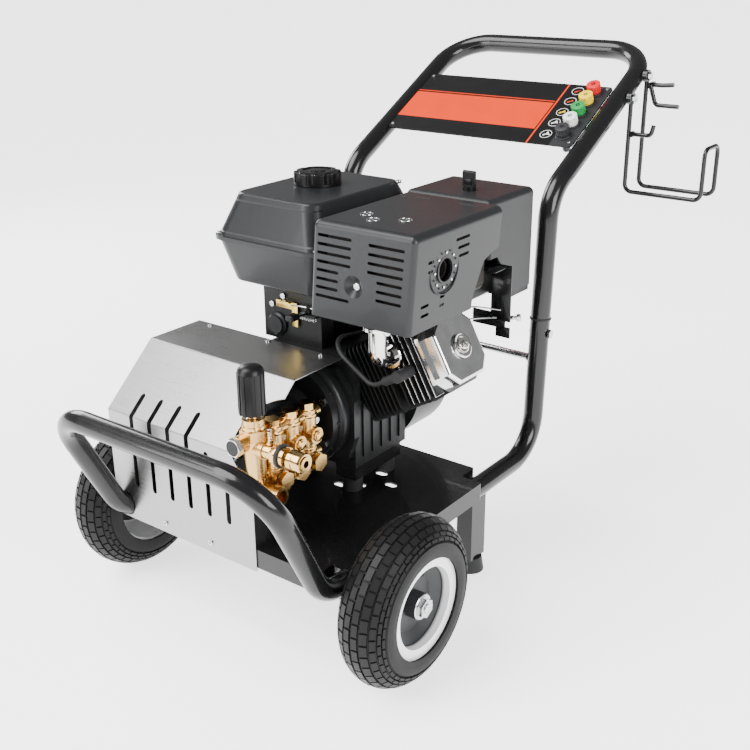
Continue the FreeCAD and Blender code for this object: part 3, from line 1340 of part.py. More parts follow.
def make_unloader():
    x, y = "unloader_x", "unloader_y"
    column = cylinder("unloader_column", "unloader_radius", "knob_foot - 8 - inlet_height + 18", x, y,
                      "inlet_height - 18")
    waist = hexagon("unloader_hex", "unloader_radius + 2", "16", x, y, "knob_foot - 40")
    stem = cylinder("unloader_stem", "8", "30", x, y, "knob_foot - 12")
    nose = cylinder("unloader_nose", "14", "28", f"{x} - 8", f"{y} - 28", "outlet_height + 8", "y")
    joint = cylinder("unloader_joint", "14", f"-manifold_front - ({y})", x, y, "crank_z + 14", "y")
    joint_low = cylinder("unloader_joint_low", "12", f"-manifold_front - ({y})",
                         x, y, "manifold_foot + 22", "y")
    boss = cylinder("outlet_boss", "14", "24", x, y, "outlet_height", "x")
    whole = fuse("unloader_whole", column, waist, stem, nose, joint, joint_low, boss)
    sub_part(whole, "unloader")

    bore = "outlet_bore"
    start = "24"
    outlet = turned("outlet_body", [
        (start, bore), ("outlet_length", bore), ("outlet_length", "outlet_tip_radius"),
        ("outlet_length - 34", "outlet_tip_radius"), ("outlet_length - 34", "15"),
        ("outlet_length - 44", "15"), ("outlet_length - 44", "16"), ("outlet_length - 50", "16"),
        ("outlet_length - 50", "12"), (start, "12")])
    place(outlet, x, y, "outlet_height")
    sub_part(outlet, "outlet_coupler")

    grip = "outlet_tip_radius + running_gap + 0.2"
    collar = turned("collar_body", [
        ("outlet_length - 28", grip), ("outlet_length - 2", grip), ("outlet_length - 2", "14"),
        ("outlet_length - 5", "15.5"), ("outlet_length - 14", "15.5"), ("outlet_length - 15", "14.5"),
        ("outlet_length - 17", "14.5"), ("outlet_length - 18", "15.5"), ("outlet_length - 26", "15.5"),
        ("outlet_length - 28", "14.5")])
    place(collar, x, y, "outlet_height")
    sub_part(collar, "coupler_collar")

    inlet = turned("inlet_body", [
        ("unloader_radius - 3", "0"), ("unloader_radius + 2", "0"),
        ("unloader_radius + 2", "inlet_bore"), ("inlet_length", "inlet_bore"),
        ("inlet_length", "inlet_radius"), ("inlet_length - 16", "inlet_radius"),
        ("inlet_length - 18", "inlet_radius - 2"), ("unloader_radius - 3", "inlet_radius - 2")])
    place(inlet, x, y, "inlet_height")
    joined = cut("inlet_joined", inlet, cylinder("inlet_seat", "unloader_radius", "80", x, y,
                                                 "inlet_height - 40"))
    sub_part(joined, "inlet_fitting")

    cap = hexagon("nose_hex", "12.5", "9", f"{x} - 8", f"{y} - 28 - 9", "outlet_height + 8", "y")
    sub_part(cap, "unloader_plug")

    knob = cylinder("knob_round", "knob_radius", "knob_height", x, y, "knob_foot")
    flutes = []
    for i in range(10):
        turn = math.radians(36 * i)
        flutes.append(cylinder(f"knob_flute_{i}", "3.6", "knob_height - 6",
                               f"{x} + (knob_radius + 1.4) * {math.cos(turn):.5f}",
                               f"{y} + (knob_radius + 1.4) * {math.sin(turn):.5f}", "knob_foot - 6"))
    room = cylinder("knob_room", "8 + running_gap", "20", x, y, "knob_foot - 1")
    knob = cut("knob_cut", knob, fuse("knob_flutes", *flutes), room)
    top = number("knob_foot + knob_height")
    knob = rounded("knob_soft", knob, "4", lambda e: e.BoundBox.ZMin > top - 0.1)
    sub_part(knob, "pressure_knob")


make_unloader()


# ================================================================ control panel and spray tips

PANEL_Y = "panel_middle - panel_lift * sin(handle_lean)"
PANEL_Z = ("handle_knee_height + (panel_middle - handle_knee_back) * tan(handle_lean)"
           " + panel_lift * cos(handle_lean)")
PANEL_TURN = FreeCAD.Rotation(AXES["x"], number("handle_lean"))
TIPS = ("red", "yellow", "green", "white", "black")


def on_panel(thing):
    """Places a piece, drawn on level ground, on the sloping panel."""
    return place(thing, "0", PANEL_Y, PANEL_Z, PANEL_TURN)


def tip_slope(index):
    return f"tip_middle + (2 - {index}) * tip_pitch"


def make_panel():
    body = new_body("panel_plate")
    half = "panel_length / 2"
    pad(body, "xy", "-panel_sheet", "panel_sheet", lambda s: draw_outline(s, [
        ("-panel_half_width", f"-({half})"), ("panel_half_width", f"-({half})"),
        ("panel_half_width", half), ("-panel_half_width", half)]))
    body_rounded(body, "8", lambda e: along(e, "z"))
    for i in range(len(TIPS)):
        pocket(body, "xy", "-panel_sheet - 1", "panel_sheet + 2",
               lambda s: draw_circle(s, "tip_x", tip_slope(i), "tip_radius + bench_gap"))
    sub_part(on_panel(body), "control_panel")

    for i, colour in enumerate(TIPS):
        stem = cylinder(f"tip_stem_{i}", "tip_radius", "34", "tip_x", tip_slope(i), "-32")
        neck = cylinder(f"tip_neck_{i}", "tip_radius + 2", "5", "tip_x", tip_slope(i), "bench_gap")
        head = cylinder(f"tip_head_{i}", "tip_head_radius", "tip_head_height - 4",
                        "tip_x", tip_slope(i), "4")
        head = rounded(f"tip_head_soft_{i}", head, "2.5", lambda e: e.Curve.TypeId == "Part::GeomCircle")
        passage = cylinder(f"tip_bore_{i}", "2.4", "26", "tip_x", tip_slope(i), "-34")
        whole = cut(f"tip_whole_{i}", fuse(f"tip_fused_{i}", stem, neck, head), passage)
        sub_part(on_panel(whole), f"spray_tip_{colour}")


make_panel()


# ================================================================ gun cradle

def make_cradle():
    wire = number("wire_radius")
    bend = number("cradle_bend")
    rest = number("tube_radius") + wire + 1
    reach = number("cradle_reach")
    drop = number("cradle_drop")
    rise = number("cradle_rise")
    front = cradle_eye("cradle_front", rest)
    back = cradle_eye("cradle_back", rest)
    out = front.x + reach
    corners = [
        front,
        FreeCAD.Vector(front.x, front.y, drop),
        FreeCAD.Vector(out, front.y, drop),
        FreeCAD.Vector(out, front.y, rise),
        FreeCAD.Vector(out, back.y, rise),
        FreeCAD.Vector(out, back.y, drop),
        FreeCAD.Vector(back.x, back.y, drop),
        back,
    ]
    shape = swept(bent_path(corners, [bend] * 6), wire)
    for eye, place_y in ((front, "cradle_front"), (back, "cradle_back")):
        start = cradle_eye(place_y, number("tube_radius") + 0.2)
        washer = Part.makeCylinder(11, 2 * wire, start, AXES["x"])
        shape = shape.fuse(washer)
    shape = shape.removeSplitter()
    for place_y in ("cradle_front", "cradle_back"):
        shape = shape.cut(Part.makeCylinder(3.2, 60, cradle_eye(place_y, -10), AXES["x"]))
    sub_part(feature("cradle_wire", shape), "gun_cradle")

    # two rests for the lance: a double prong on the back wire, a small hook on the front one
    x = front.x + 2 * wire
    upper = back.z - 16
    low_prong = bent_path([
        FreeCAD.Vector(x, back.y, upper),
        FreeCAD.Vector(x + 12, back.y, upper - 34),
        FreeCAD.Vector(x + 56, back.y, upper - 34)], [9])
    high_prong = bent_path([
        FreeCAD.Vector(x, back.y + 9, upper),
        FreeCAD.Vector(x + 20, back.y + 9, upper),
        FreeCAD.Vector(x + 40, back.y + 9, upper + 2)], [30])
    small = bent_path([
        FreeCAD.Vector(x, front.y, front.z - 62),
        FreeCAD.Vector(x + 34, front.y, front.z - 62),
        FreeCAD.Vector(x + 38, front.y, front.z - 44)], [9])
    root = Part.makeBox(4, 26, 10, FreeCAD.Vector(x - 3, back.y - 6, upper - 5))
    prongs = swept(low_prong, wire).fuse(swept(high_prong, wire)).fuse(root).removeSplitter()
    foot = Part.makeBox(4, 10, 10, FreeCAD.Vector(x - 3, front.y - 5, front.z - 67))
    hook = swept(small, wire).fuse(foot).removeSplitter()
    rests = Part.makeCompound([prongs.cut(shape), hook.cut(shape)])
    sub_part(feature("lance_rests", rests), "lance_hooks")


make_cradle()


# ================================================================ small engine fittings

def make_fittings():
    x, z = "dipstick_x", "dipstick_z"
    stick = cylinder("dipstick_stem", "9 - bench_gap", "40", x, "engine_front - 14", z, "y")
    grip = cylinder("dipstick_grip", "14", "12", x, "engine_front - 12.3 - 12", z, "y")
    fin = box("dipstick_fin", f"{x} - 3", "engine_front - 12.3 - 22", f"{z} - 12", "6", "12", "24")
    sub_part(fuse("dipstick_whole", stick, grip, fin), "oil_dipstick")


make_fittings()


def bolt(name, x, y, z, axis, head, grip, thread="4", flip=False):
    """A hexagon head with a shank; flipped, its head is at the far end."""
    head_height = 5
    offset = f" - {head_height}" if not flip else f" + {grip}"
    place_of = {"x": (f"{x}{offset}", y, z), "y": (x, f"{y}{offset}", z), "z": (x, y, f"{z}{offset}")}
    top = hexagon(f"{name}_head", str(head), str(head_height), *place_of[axis], axis)
    shank = cylinder(f"{name}_shank", thread, grip, x, y, z, axis)
    return fuse(name, top, shank)


def make_fasteners():
    pieces = []
    for name, sign in (("left", -1), ("right", 1)):
        x = f"{sign} * (wheel_track / 2 + axle_end - 4) - 3.5"
        nut = hexagon(f"axle_nut_{name}", "13", "7", x, "0", "wheel_radius", "x")
        hole = cylinder(f"axle_nut_hole_{name}", "axle_radius + running_gap", "20", f"{x} - 5", "0",
                        "wheel_radius", "x")
        pieces.append(cut(f"axle_nut_cut_{name}", nut, hole))
        height = number("split_height") - 25
        back = f"{upright_back(height):.3f}"
        pieces.append(bolt(f"handle_bolt_{name}", f"{sign} * rail_spread - tube_radius - 1",
                           back, str(height), "x", 7, "2 * tube_radius + 2", flip=sign > 0))
    for i in range(3):
        y = f"column_middle + ({i} - 0.5) * column_pitch"
        for j, z in enumerate(("crank_z - 16", "crank_z + 14")):
            pieces.append(cylinder(f"head_bolt_{i}_{j}", "4.8", "7", "manifold_face + 12", y, z, "x"))
    for name, place_y in (("front", "cradle_front"), ("back", "cradle_back")):
        eye = cradle_eye(place_y, 0)
        pieces.append(bolt(f"cradle_bolt_{name}", "rail_spread - tube_radius - 3", f"{eye.y:.3f}",
                           f"{eye.z:.3f}", "x", 6, "2 * tube_radius + 12", "3", flip=True))
    for i in range(6):
        turn = math.radians(60 * i + 30)
        x = f"crank_x + (flange_radius - 8) * {math.cos(turn):.5f}"
        z = f"crank_z + (flange_radius - 8) * {math.sin(turn):.5f}"
        pieces.append(hexagon(f"flange_bolt_{i}", "5.5", "5", x,
                              "engine_front - side_cover_depth - flange_depth - 5", z, "y"))
    sub_part(group("fastener_group", *pieces), "fasteners")


make_fasteners()


def make_ignition_lead():
    local = point(f"{PLUG_ALONG} - 30", "-fin_half_width - 28", "-4")
    start = TILT_TURN.multVec(local) + point("crank_x", "cylinder_back", "crank_z")
    corners = [
        start,
        start - BORE_AXIS * 28,
        point("crank_x + 41", "engine_front - 8", "block_top + 30"),
        point("crank_x + 35", f"{ENGINE_BACK} + 6.4", "block_top + 5"),
    ]
    bends = []
    for i in range(1, len(corners) - 1):
        one = corners[i] - corners[i - 1]
        two = corners[i + 1] - corners[i]
        short = min(one.Length, two.Length)
        bends.append(0.45 * short / math.tan(one.getAngle(two) / 2))
    print("ignition lead radii", [round(bend, 1) for bend in bends])
    sub_part(feature("lead", swept(bent_path(corners, bends), 3.5)), "ignition_lead")


make_ignition_lead()


# ================================================================ finish

doc.recompute()


def check_document():
    """Stops on any failed object or bad shape."""
    for thing in doc.Objects:
        if "Invalid" in thing.State or "Error" in thing.State:
            raise ValueError(f"{thing.Name} has failed: {thing.State}")
    for thing in sub_parts:
        if thing.Shape.isNull() or not thing.Shape.isValid():
            raise ValueError(f"{thing.Label} has a bad shape")


check_document()


def set_origin():
    """Moves the machine so that its origin is the middle of its footprint."""
    bounds = FreeCAD.BoundBox()
    for thing in sub_parts:
        bounds.add(thing.Shape.optimalBoundingBox(False, False))
    cells = list(SIZES)
    for alias, middle in (("origin_x", bounds.Center.x), ("origin_y", bounds.Center.y)):
        sheet.set(f"B{cells.index(alias) + 1}", f"{middle:.4f}")
    doc.recompute()


set_origin()
check_document()
os.makedirs("parts", exist_ok=True)
for thing in sub_parts:
    thing.Shape.exportStep(f"parts/{thing.Label}.step")
print(len(sub_parts), "sub-parts")
print("origin", round(number("origin_x"), 4), round(number("origin_y"), 4))
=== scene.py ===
"""Looks of an engine-driven pressure washer: finishes for its made parts, and the finer pieces on them."""
import math

import bmesh
import bpy
from mathutils import Matrix, Vector


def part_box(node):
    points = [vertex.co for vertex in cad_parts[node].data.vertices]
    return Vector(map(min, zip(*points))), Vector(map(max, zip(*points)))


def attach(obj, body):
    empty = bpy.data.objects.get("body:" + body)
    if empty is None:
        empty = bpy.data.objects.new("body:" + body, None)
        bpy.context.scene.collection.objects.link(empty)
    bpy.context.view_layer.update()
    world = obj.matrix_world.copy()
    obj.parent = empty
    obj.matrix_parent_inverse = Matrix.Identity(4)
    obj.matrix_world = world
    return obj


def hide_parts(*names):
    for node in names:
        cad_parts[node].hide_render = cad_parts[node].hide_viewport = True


bl_info = {
    "name": "Pressure Washer Detailing",
    "version": (1, 0, 0),
    "blender": (4, 5, 0),
    "location": "3D View > Sidebar > Washer",
    "description": "Finishes and fine pieces for a wheeled pressure washer",
    "category": "Object",
}

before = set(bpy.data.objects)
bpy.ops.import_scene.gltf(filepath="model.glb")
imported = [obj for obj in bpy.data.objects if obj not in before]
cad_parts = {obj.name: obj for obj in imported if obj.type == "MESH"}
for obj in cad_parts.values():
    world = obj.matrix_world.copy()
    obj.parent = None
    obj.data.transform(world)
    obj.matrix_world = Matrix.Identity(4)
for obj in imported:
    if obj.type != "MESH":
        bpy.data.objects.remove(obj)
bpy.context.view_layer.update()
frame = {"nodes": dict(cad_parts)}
# the working axes have their origin under the middle of the axle
AXLE_FOOT = Vector((-0.02725, -0.335, 0.0))
FULL = 2 * math.pi
X, Y, Z = Vector((1, 0, 0)), Vector((0, 1, 0)), Vector((0, 0, 1))
MERGE = 1e-6
LEAN = math.radians(28.5)
CYLINDER_TILT = math.radians(29)
# places on the made parts, in millimetres in the working axes
WHEEL_X, WHEEL_Z = 281.5, 130
CRANK_X, CRANK_Z = 5, 320
# a tyre's section: how far its centre is from the axle, and its radius
TREAD_CORE, TREAD_TOP = 87, 43.0
COLUMN_X, COLUMNS_Y = 68, (-33, 5, 43)
UNLOADER_X, UNLOADER_Y = 61, -65
OUTLET_Z = 337
HEAD_TOP = 232
GUARD_TOP, TAIL_Y, TAIL_Z = 641, 158, 577
EXHAUST_X, EXHAUST_Y = 154, 107
FILLER_X, FILLER_Y = -88, 267
SIGN_X, TIP_X = 133, 167
TIPS = ("red", "yellow", "green", "white", "black")
TIP_RISES = (67.3, 35.9, 4.5, -26.9, -58.3)
# the camera: its place, its azimuth, elevation and roll in degrees, and its lens by its sensor
CAMERA_PLACE = (1046.5, -1068.3, 1010.3)
CAMERA_TURNS = (37.37, 22.02, -0.5)
FOCAL_SHARE = 1075.44 / 750
SENSOR_WIDTH = 36.0
FLOOR_GLOW = 1.9


# ---- settings

def length(name, description, millimetres):
    return bpy.props.FloatProperty(name=name, description=description, default=millimetres / 1000,
                                   min=0.0, unit="LENGTH")


def colour(name, description, value):
    return bpy.props.FloatVectorProperty(name=name, description=description, default=value, size=3,
                                         min=0.0, max=1.0, subtype="COLOR")


class WasherSizes(bpy.types.PropertyGroup):
    """Sizes of the fine pieces"""
    tread_depth: length("Tread depth", "Height of the tread blocks over the grooves", 2.6)
    groove_width: length("Groove width", "Width of the grooves between tread blocks", 1.8)
    sign_radius: length("Sign radius", "Radius of the round signs beside the spray tips", 11.0)
    rod_radius: length("Rod radius", "Radius of the engine's control rods", 1.3)
    screw_radius: length("Screw radius", "Radius of the pump head's socket screws", 4.8)
    floor_size: length("Floor size", "Side of the square floor", 90000.0)


class WasherColours(bpy.types.PropertyGroup):
    """Colours of the finishes"""
    frame: colour("Frame", "Powder coat of the tube frame", (0.006, 0.006, 0.0065))
    enamel: colour("Enamel", "Tank, guard and starter enamel", (0.013, 0.0135, 0.0145))
    band: colour("Band", "Wide band across the control panel", (0.62, 0.036, 0.003))
    steel: colour("Stainless", "Brushed pump cover", (0.33, 0.33, 0.328))
    brass: colour("Brass", "Pump head and its fittings", (0.66, 0.42, 0.16))
    alloy: colour("Cast alloy", "Engine castings", (0.30, 0.305, 0.31))
    rubber: colour("Tyre", "Tyre rubber", (0.006, 0.006, 0.0063))
    tip_red: colour("Red tip", "Spray tip for a pencil jet", (0.62, 0.018, 0.02))
    tip_yellow: colour("Yellow tip", "Spray tip for a narrow fan", (0.85, 0.6, 0.01))
    tip_green: colour("Green tip", "Spray tip for a medium fan", (0.015, 0.25, 0.06))
    tip_white: colour("White tip", "Spray tip for a wide fan", (0.78, 0.78, 0.77))
    floor: colour("Floor", "Studio floor", (0.86, 0.86, 0.86))


# ---- finishes

def sums(operation):
    """Two methods for a sum of two values: as written, and with the values swapped."""
    return (lambda self, other: self.work(operation, self, other),
            lambda self, other: self.work(operation, other, self))


class Level:
    """A value in a finish that sums can be written with."""

    def __init__(self, finish, socket):
        self.finish = finish
        self.socket = socket

    def work(self, operation, *values):
        return self.finish.node("Math", {"operation": operation}, dict(enumerate(values)))

    __add__, __radd__ = sums("ADD")
    __sub__, __rsub__ = sums("SUBTRACT")
    __mul__, __rmul__ = sums("MULTIPLY")
    __gt__ = sums("GREATER_THAN")[0]
    __lt__ = sums("LESS_THAN")[0]
    both = sums("MINIMUM")[0]
    either = sums("MAXIMUM")[0]

    def root(self):
        return self.work("SQRT", self)

    def ramp(self, low, high):
        """0 below low, 1 above high, and straight between."""
        return self.finish.node("MapRange", {"clamp": True}, {0: self, 1: low, 2: high, 3: 0.0, 4: 1.0})


class Finish:
    """A node-based material, built from its noise and its masks."""

    def __init__(self, name, metallic=0.0, coat=0.0, specular=0.5):
        self.material = bpy.data.materials.new(name)
        self.material.use_nodes = True
        self.tree = self.material.node_tree
        self.shader = self.tree.nodes["Principled BSDF"]
        self.shader.inputs["Metallic"].default_value = metallic
        self.shader.inputs["Coat Weight"].default_value = coat
        self.shader.inputs["Specular IOR Level"].default_value = specular

    def node(self, kind, settings=None, inputs=None, output=0):
        made = self.tree.nodes.new("ShaderNode" + kind)
        for key, value in (settings or {}).items():
            setattr(made, key, value)
        for key, value in (inputs or {}).items():
            self.feed(made.inputs[key], value)
        return Level(self, made.outputs[output])

    def feed(self, socket, value):
        if isinstance(value, Level):
            self.tree.links.new(value.socket, socket)
        else:
            socket.default_value = value

    def place(self):
        return self.node("TexCoord", output=3)

    def axes(self, millimetre_origin=(0, 0, 0)):
        """The three coordinates in millimetres, from an origin in the working axes."""
        shift = -1000 * at(*millimetre_origin)
        moved = self.node("Mapping", {}, {"Vector": self.place(), "Location": shift,
                                          "Scale": (1000, 1000, 1000)})
        split = self.tree.nodes.new("ShaderNodeSeparateXYZ")
        self.tree.links.new(moved.socket, split.inputs[0])
        return [Level(self, split.outputs[i]) for i in range(3)]

    def noise(self, scale, detail=3.0, stretch=(1, 1, 1), rough=0.55):
        spot = self.node("Mapping", {}, {"Vector": self.place(), "Scale": stretch})
        return self.node("TexNoise", {}, {"Vector": spot, "Scale": scale, "Detail": detail,
                                          "Roughness": rough})

    def tone(self, share, low, high):
        """A colour between two, by a share."""
        return self.node("Mix", {"data_type": "RGBA"}, {0: share, 6: (*low, 1), 7: (*high, 1)}, output=2)

    def over(self, share, under, top):
        """A colour laid over another by a share; either may be a plain colour."""
        under = under if isinstance(under, Level) else (*under, 1)
        top = top if isinstance(top, Level) else (*top, 1)
        return self.node("Mix", {"data_type": "RGBA"}, {0: share, 6: under, 7: top}, output=2)

    def wear(self, base, rough, bump=None, strength=0.25, distance=0.0004):
        """Feeds the shader its colour, its roughness and its relief."""
        self.feed(self.shader.inputs["Base Color"], base)
        self.feed(self.shader.inputs["Roughness"], rough)
        if bump is not None:
            relief = self.node("Bump", {}, {"Strength": strength, "Distance": distance, "Height": bump})
            self.feed(self.shader.inputs["Normal"], relief)
        return self.material


def shade(value, factor):
    return tuple(min(1.0, part * factor) for part in value)


def plain_finish(name, base, rough, metallic=0.0, coat=0.0, grain=900.0, relief=0.2, spread=0.12,
                 mottle=40.0, contrast=0.18, specular=0.24):
    """A paint, plastic or casting: slow mottling of its tone and a fine grain in its surface."""
    finish = Finish(name, metallic, coat, specular)
    slow = finish.noise(mottle, 4.0)
    fine = finish.noise(grain, 2.0)
    base_tone = finish.tone(slow, shade(base, 1 - contrast), shade(base, 1 + contrast))
    gloss = rough - spread / 2 + spread * slow + 0.06 * (fine - 0.5)
    return finish.wear(base_tone, gloss, fine, relief)


def brushed_finish(name, base, rough, stretch, metallic=1.0):
    """Sheet metal with long fine scratches across one way."""
    finish = Finish(name, metallic)
    lines = finish.noise(26.0, 6.0, stretch, 0.7)
    hair = finish.noise(90.0, 3.0, stretch, 0.6)
    cloud = finish.noise(5.0, 2.0)
    share = 0.5 * lines + 0.3 * hair + 0.2 * cloud
    base_tone = finish.tone(share, shade(base, 0.72), shade(base, 1.22))
    gloss = rough + 0.22 * (lines - 0.5) + 0.08 * (cloud - 0.5)
    return finish.wear(base_tone, gloss, 0.6 * lines + 0.4 * hair, 0.12, 0.0002)


def turned_finish(name, base, rough, dull=0.06):
    """Machined metal: bright, with faint turning marks and a slight tarnish."""
    finish = Finish(name, 1.0)
    tarnish = finish.noise(55.0, 4.0)
    marks = finish.noise(700.0, 2.0)
    base_tone = finish.tone(tarnish, shade(base, 0.8), shade(base, 1.12))
    gloss = rough + dull * 3 * (tarnish - 0.5) + dull * (marks - 0.5)
    return finish.wear(base_tone, gloss, marks, 0.1, 0.0002)


def tyre_finish(base):
    """Rubber, dusty in the grooves and smoother on the blocks."""
    finish = Finish("tyre_rubber", specular=0.16)
    _, along, up = finish.axes((0, 0, WHEEL_Z))
    distance = (along * along + up * up).root()
    crown = distance.ramp(122.0, 129.0)
    dust = finish.noise(34.0, 5.0)
    fine = finish.noise(1300.0, 2.0)
    base_tone = finish.tone(0.6 * dust + 0.4 * crown, shade(base, 0.7), shade(base, 1.55))
    wave = distance * 1.1
    ribs = wave.work("SINE", wave)
    flank = (distance < 112.0).both(distance > 84.0)
    gloss = 0.5 - 0.1 * crown + 0.16 * (dust - 0.5)
    return finish.wear(base_tone, gloss, fine + 0.25 * ribs * flank, 0.3, 0.0004)


def rim_finish(base_ring, base_disc):
    """A pressed rim: a bright plated flange round a dark painted disc."""
    finish = Finish("rim_two_tone", specular=0.3)
    _, along, up = finish.axes((0, 0, WHEEL_Z))
    distance = (along * along + up * up).root()
    ring = distance.ramp(60.2, 60.9)
    slow = finish.noise(30.0, 4.0)
    fine = finish.noise(800.0, 2.0)
    disc = finish.tone(slow, shade(base_disc, 0.75), shade(base_disc, 1.3))
    flange = finish.tone(slow, shade(base_ring, 0.93), base_ring)
    finish.feed(finish.shader.inputs["Metallic"], 0.1 * ring)
    return finish.wear(finish.over(ring, disc, flange), 0.42 - 0.16 * ring + 0.12 * (slow - 0.5), fine, 0.1)


def enamel_finish(name, base, rough=0.34, recess=None):
    """Gloss enamel with orange peel; where a box is given, a tank's recess is pressed in and darkened as
    painted shade.
    """
    finish = Finish(name, coat=0.05, specular=0.22)
    slow = finish.noise(9.0, 4.0)
    peel = finish.noise(320.0, 2.0)
    dust = finish.noise(60.0, 6.0)
    base_tone = finish.tone(0.65 * slow + 0.35 * dust, shade(base, 0.8), shade(base, 1.3))
    height = 0.08 * peel
    if recess:
        x, y, z = finish.axes()
        (left, right), (front, back), (low, high) = recess
        pressed = (x.ramp(left, left + 2.5).both(1 - x.ramp(right - 2.5, right))
                   .both(z.ramp(low, low + 2.5)).both(1 - z.ramp(high - 2.5, high))
                   .both(y < back).both(y > front))
        height = height - 1.0 * pressed
        # painted shade: the pressed recess is darkened, 40% of the way towards 60% of the enamel's colour
        base_tone = finish.over(0.4 * pressed, base_tone, shade(base, 0.6))
    return finish.wear(base_tone, rough + 0.12 * (slow - 0.5) + 0.05 * (dust - 0.5), height,
                       0.9 if recess else 0.2, 0.0012 if recess else 0.0006)


def panel_finish(black, band):
    """The control panel's printed bands: one wide, one thin, a divider and a plain strip."""
    low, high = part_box("control_panel")
    middle = (low + high) / 2
    finish = Finish("panel_print", specular=0.12)
    x, y, z = finish.axes()
    centre_y = (middle.y - AXLE_FOOT.y) * 1000
    centre_z = middle.z * 1000
    rise = (y - centre_y) * math.cos(LEAN) + (z - centre_z) * math.sin(LEAN)
    left_part = x < 104.0
    wide = (rise < 28.5).both(rise > -48.5).both(left_part)
    thin = (rise < 34.5).both(rise > 32.3).both(left_part)
    divider = (x > 106.5).both(x < 109.8)
    strip = x > 152.0
    slow = finish.noise(24.0, 4.0)
    fine = finish.noise(1100.0, 2.0)
    ink = finish.tone(slow, shade(band, 0.88), shade(band, 1.08))
    dark = finish.tone(slow, shade(black, 0.7), shade(black, 1.3))
    grey = finish.tone(slow, (0.018, 0.0185, 0.02), (0.026, 0.0265, 0.028))
    bands = wide.either(thin).either(divider)
    printed = finish.over(bands, finish.over(strip, dark, grey), ink)
    return finish.wear(printed, 0.42 + 0.1 * (slow - 0.5) + 0.14 * strip, fine, 0.08)


def floor_finish(base):
    finish = Finish("studio_floor", specular=0.3)
    slow = finish.noise(0.8, 3.0)
    fine = finish.noise(300.0, 2.0)
    finish.shader.inputs["Emission Color"].default_value = (1.0, 1.0, 1.0, 1.0)
    finish.shader.inputs["Emission Strength"].default_value = FLOOR_GLOW
    return finish.wear(finish.tone(slow, shade(base, 0.985), base), 0.7 + 0.06 * (slow - 0.5), fine, 0.02)


def make_finishes(c):
    """All finishes, by name."""
    black = (0.005, 0.005, 0.0053)
    return {
        "powder": plain_finish("powder_coat", c.frame, 0.22, coat=0.25, grain=1400, relief=0.1, spread=0.1),
        "enamel": enamel_finish("dark_enamel", c.enamel),
        "tank": enamel_finish("tank_enamel", c.enamel, 0.3, ((-176, 24), (60, 160), (580, 632))),
        "airbox": plain_finish("airbox_plastic", shade(c.enamel, 1.05), 0.4, grain=1500, relief=0.12,
                               spread=0.1),
        "plastic": plain_finish("black_moulding", black, 0.32, grain=1300, relief=0.2, specular=0.2),
        "stainless": brushed_finish("brushed_stainless", c.steel, 0.3, (1.0, 18.0, 18.0)),
        "zinc": turned_finish("bright_zinc", (0.62, 0.63, 0.64), 0.26),
        "chrome": turned_finish("bright_chrome", (0.75, 0.74, 0.72), 0.1, 0.03),
        "brass": turned_finish("machined_brass", c.brass, 0.17),
        "cast_brass": plain_finish("cast_brass", shade(c.brass, 0.95), 0.27, 1.0, grain=700, relief=0.3,
                                   contrast=0.14),
        "alloy": plain_finish("cast_alloy", c.alloy, 0.42, 0.85, grain=800, relief=0.5, contrast=0.25),
        "dark_alloy": plain_finish("dark_casting", (0.02, 0.0205, 0.0215), 0.32, 0.6, grain=750, relief=0.5,
                                   contrast=0.3),
        "polished": turned_finish("polished_alloy", (0.78, 0.785, 0.79), 0.16, 0.05),
        "fins": plain_finish("heat_black", (0.010, 0.010, 0.0105), 0.38, 0.3, grain=900, relief=0.4),
        "heat": plain_finish("scaled_steel", (0.022, 0.019, 0.017), 0.55, 0.6, grain=500, relief=0.5,
                             contrast=0.4),
        "rubber": plain_finish("soft_rubber", (0.016, 0.016, 0.017), 0.55, grain=1000, relief=0.3),
        "tyre": tyre_finish(c.rubber),
        "rim": rim_finish((0.9, 0.9, 0.9), (0.022, 0.0225, 0.024)),
        "panel": panel_finish((0.006, 0.006, 0.006), c.band),
        "band": plain_finish("band_paint", c.band, 0.4),
        # the matte dark finish is paper for the engine's cover gasket, and painted shade in the muffler
        # guard's holes and slots
        "gasket": plain_finish("gasket_paper", (0.03, 0.03, 0.03), 0.7, relief=0.5),
        **{"tip_" + name: plain_finish(name + "_moulding", getattr(c, "tip_" + name), 0.33, relief=0.12,
                                       contrast=0.05 if name == "white" else 0.08) for name in TIPS[:4]},
        "tip_black": plain_finish("charcoal_moulding", (0.03, 0.03, 0.032), 0.36, relief=0.12),
        "passivated": turned_finish("yellow_passivate", (0.62, 0.45, 0.12), 0.3),
        "floor": floor_finish(c.floor),
    }


NODE_FINISH = {
    "powder": "handle_frame lower_frame base_tray rear_legs engine_bearers gun_cradle lance_hooks",
    "enamel": "muffler_guard blower_housing recoil_cover",
    "tank": "fuel_tank",
    "airbox": "air_cleaner_cover",
    "plastic": "air_cleaner_base air_cleaner_knob choke_lever fuel_valve_lever throttle_lever fuel_cap"
               " oil_dipstick pressure_knob recoil_grip recoil_reel",
    "stainless": "pump_cover",
    "zinc": "axle crankshaft cross_brace fasteners unloader_plug",
    "chrome": "exhaust_pipe",
    "brass": "coupler_collar inlet_fitting outlet_coupler valve_caps",
    "cast_brass": "pump_manifold unloader",
    "alloy": "carburettor flywheel",
    "dark_alloy": "engine_block crankcase_cover pump_body",
    "polished": "valve_cover",
    "fins": "cylinder cylinder_head tank_brackets",
    "heat": "muffler",
    "rubber": "engine_mounts rear_feet fuel_line ignition_lead spark_plug_cap",
    "tyre": "tyre_left tyre_right",
    "rim": "rim_left rim_right",
    "panel": "control_panel",
    **{"tip_" + name: "spray_tip_" + name for name in TIPS},
}
FINISHES = {}


# ---- shapes

def at(x, y, z):
    """A place in metres from millimetres in the working axes."""
    return Vector((x, y, z)) / 1000 + AXLE_FOOT


def facing(axis, place=(0, 0, 0), turn=0.0):
    """A matrix that stands a shape made along Z on a place, along an axis."""
    stand = Vector(axis).normalized().to_track_quat("Z", "Y").to_matrix().to_4x4()
    return Matrix.Translation(at(*place)) @ stand @ Matrix.Rotation(turn, 4, "Z")


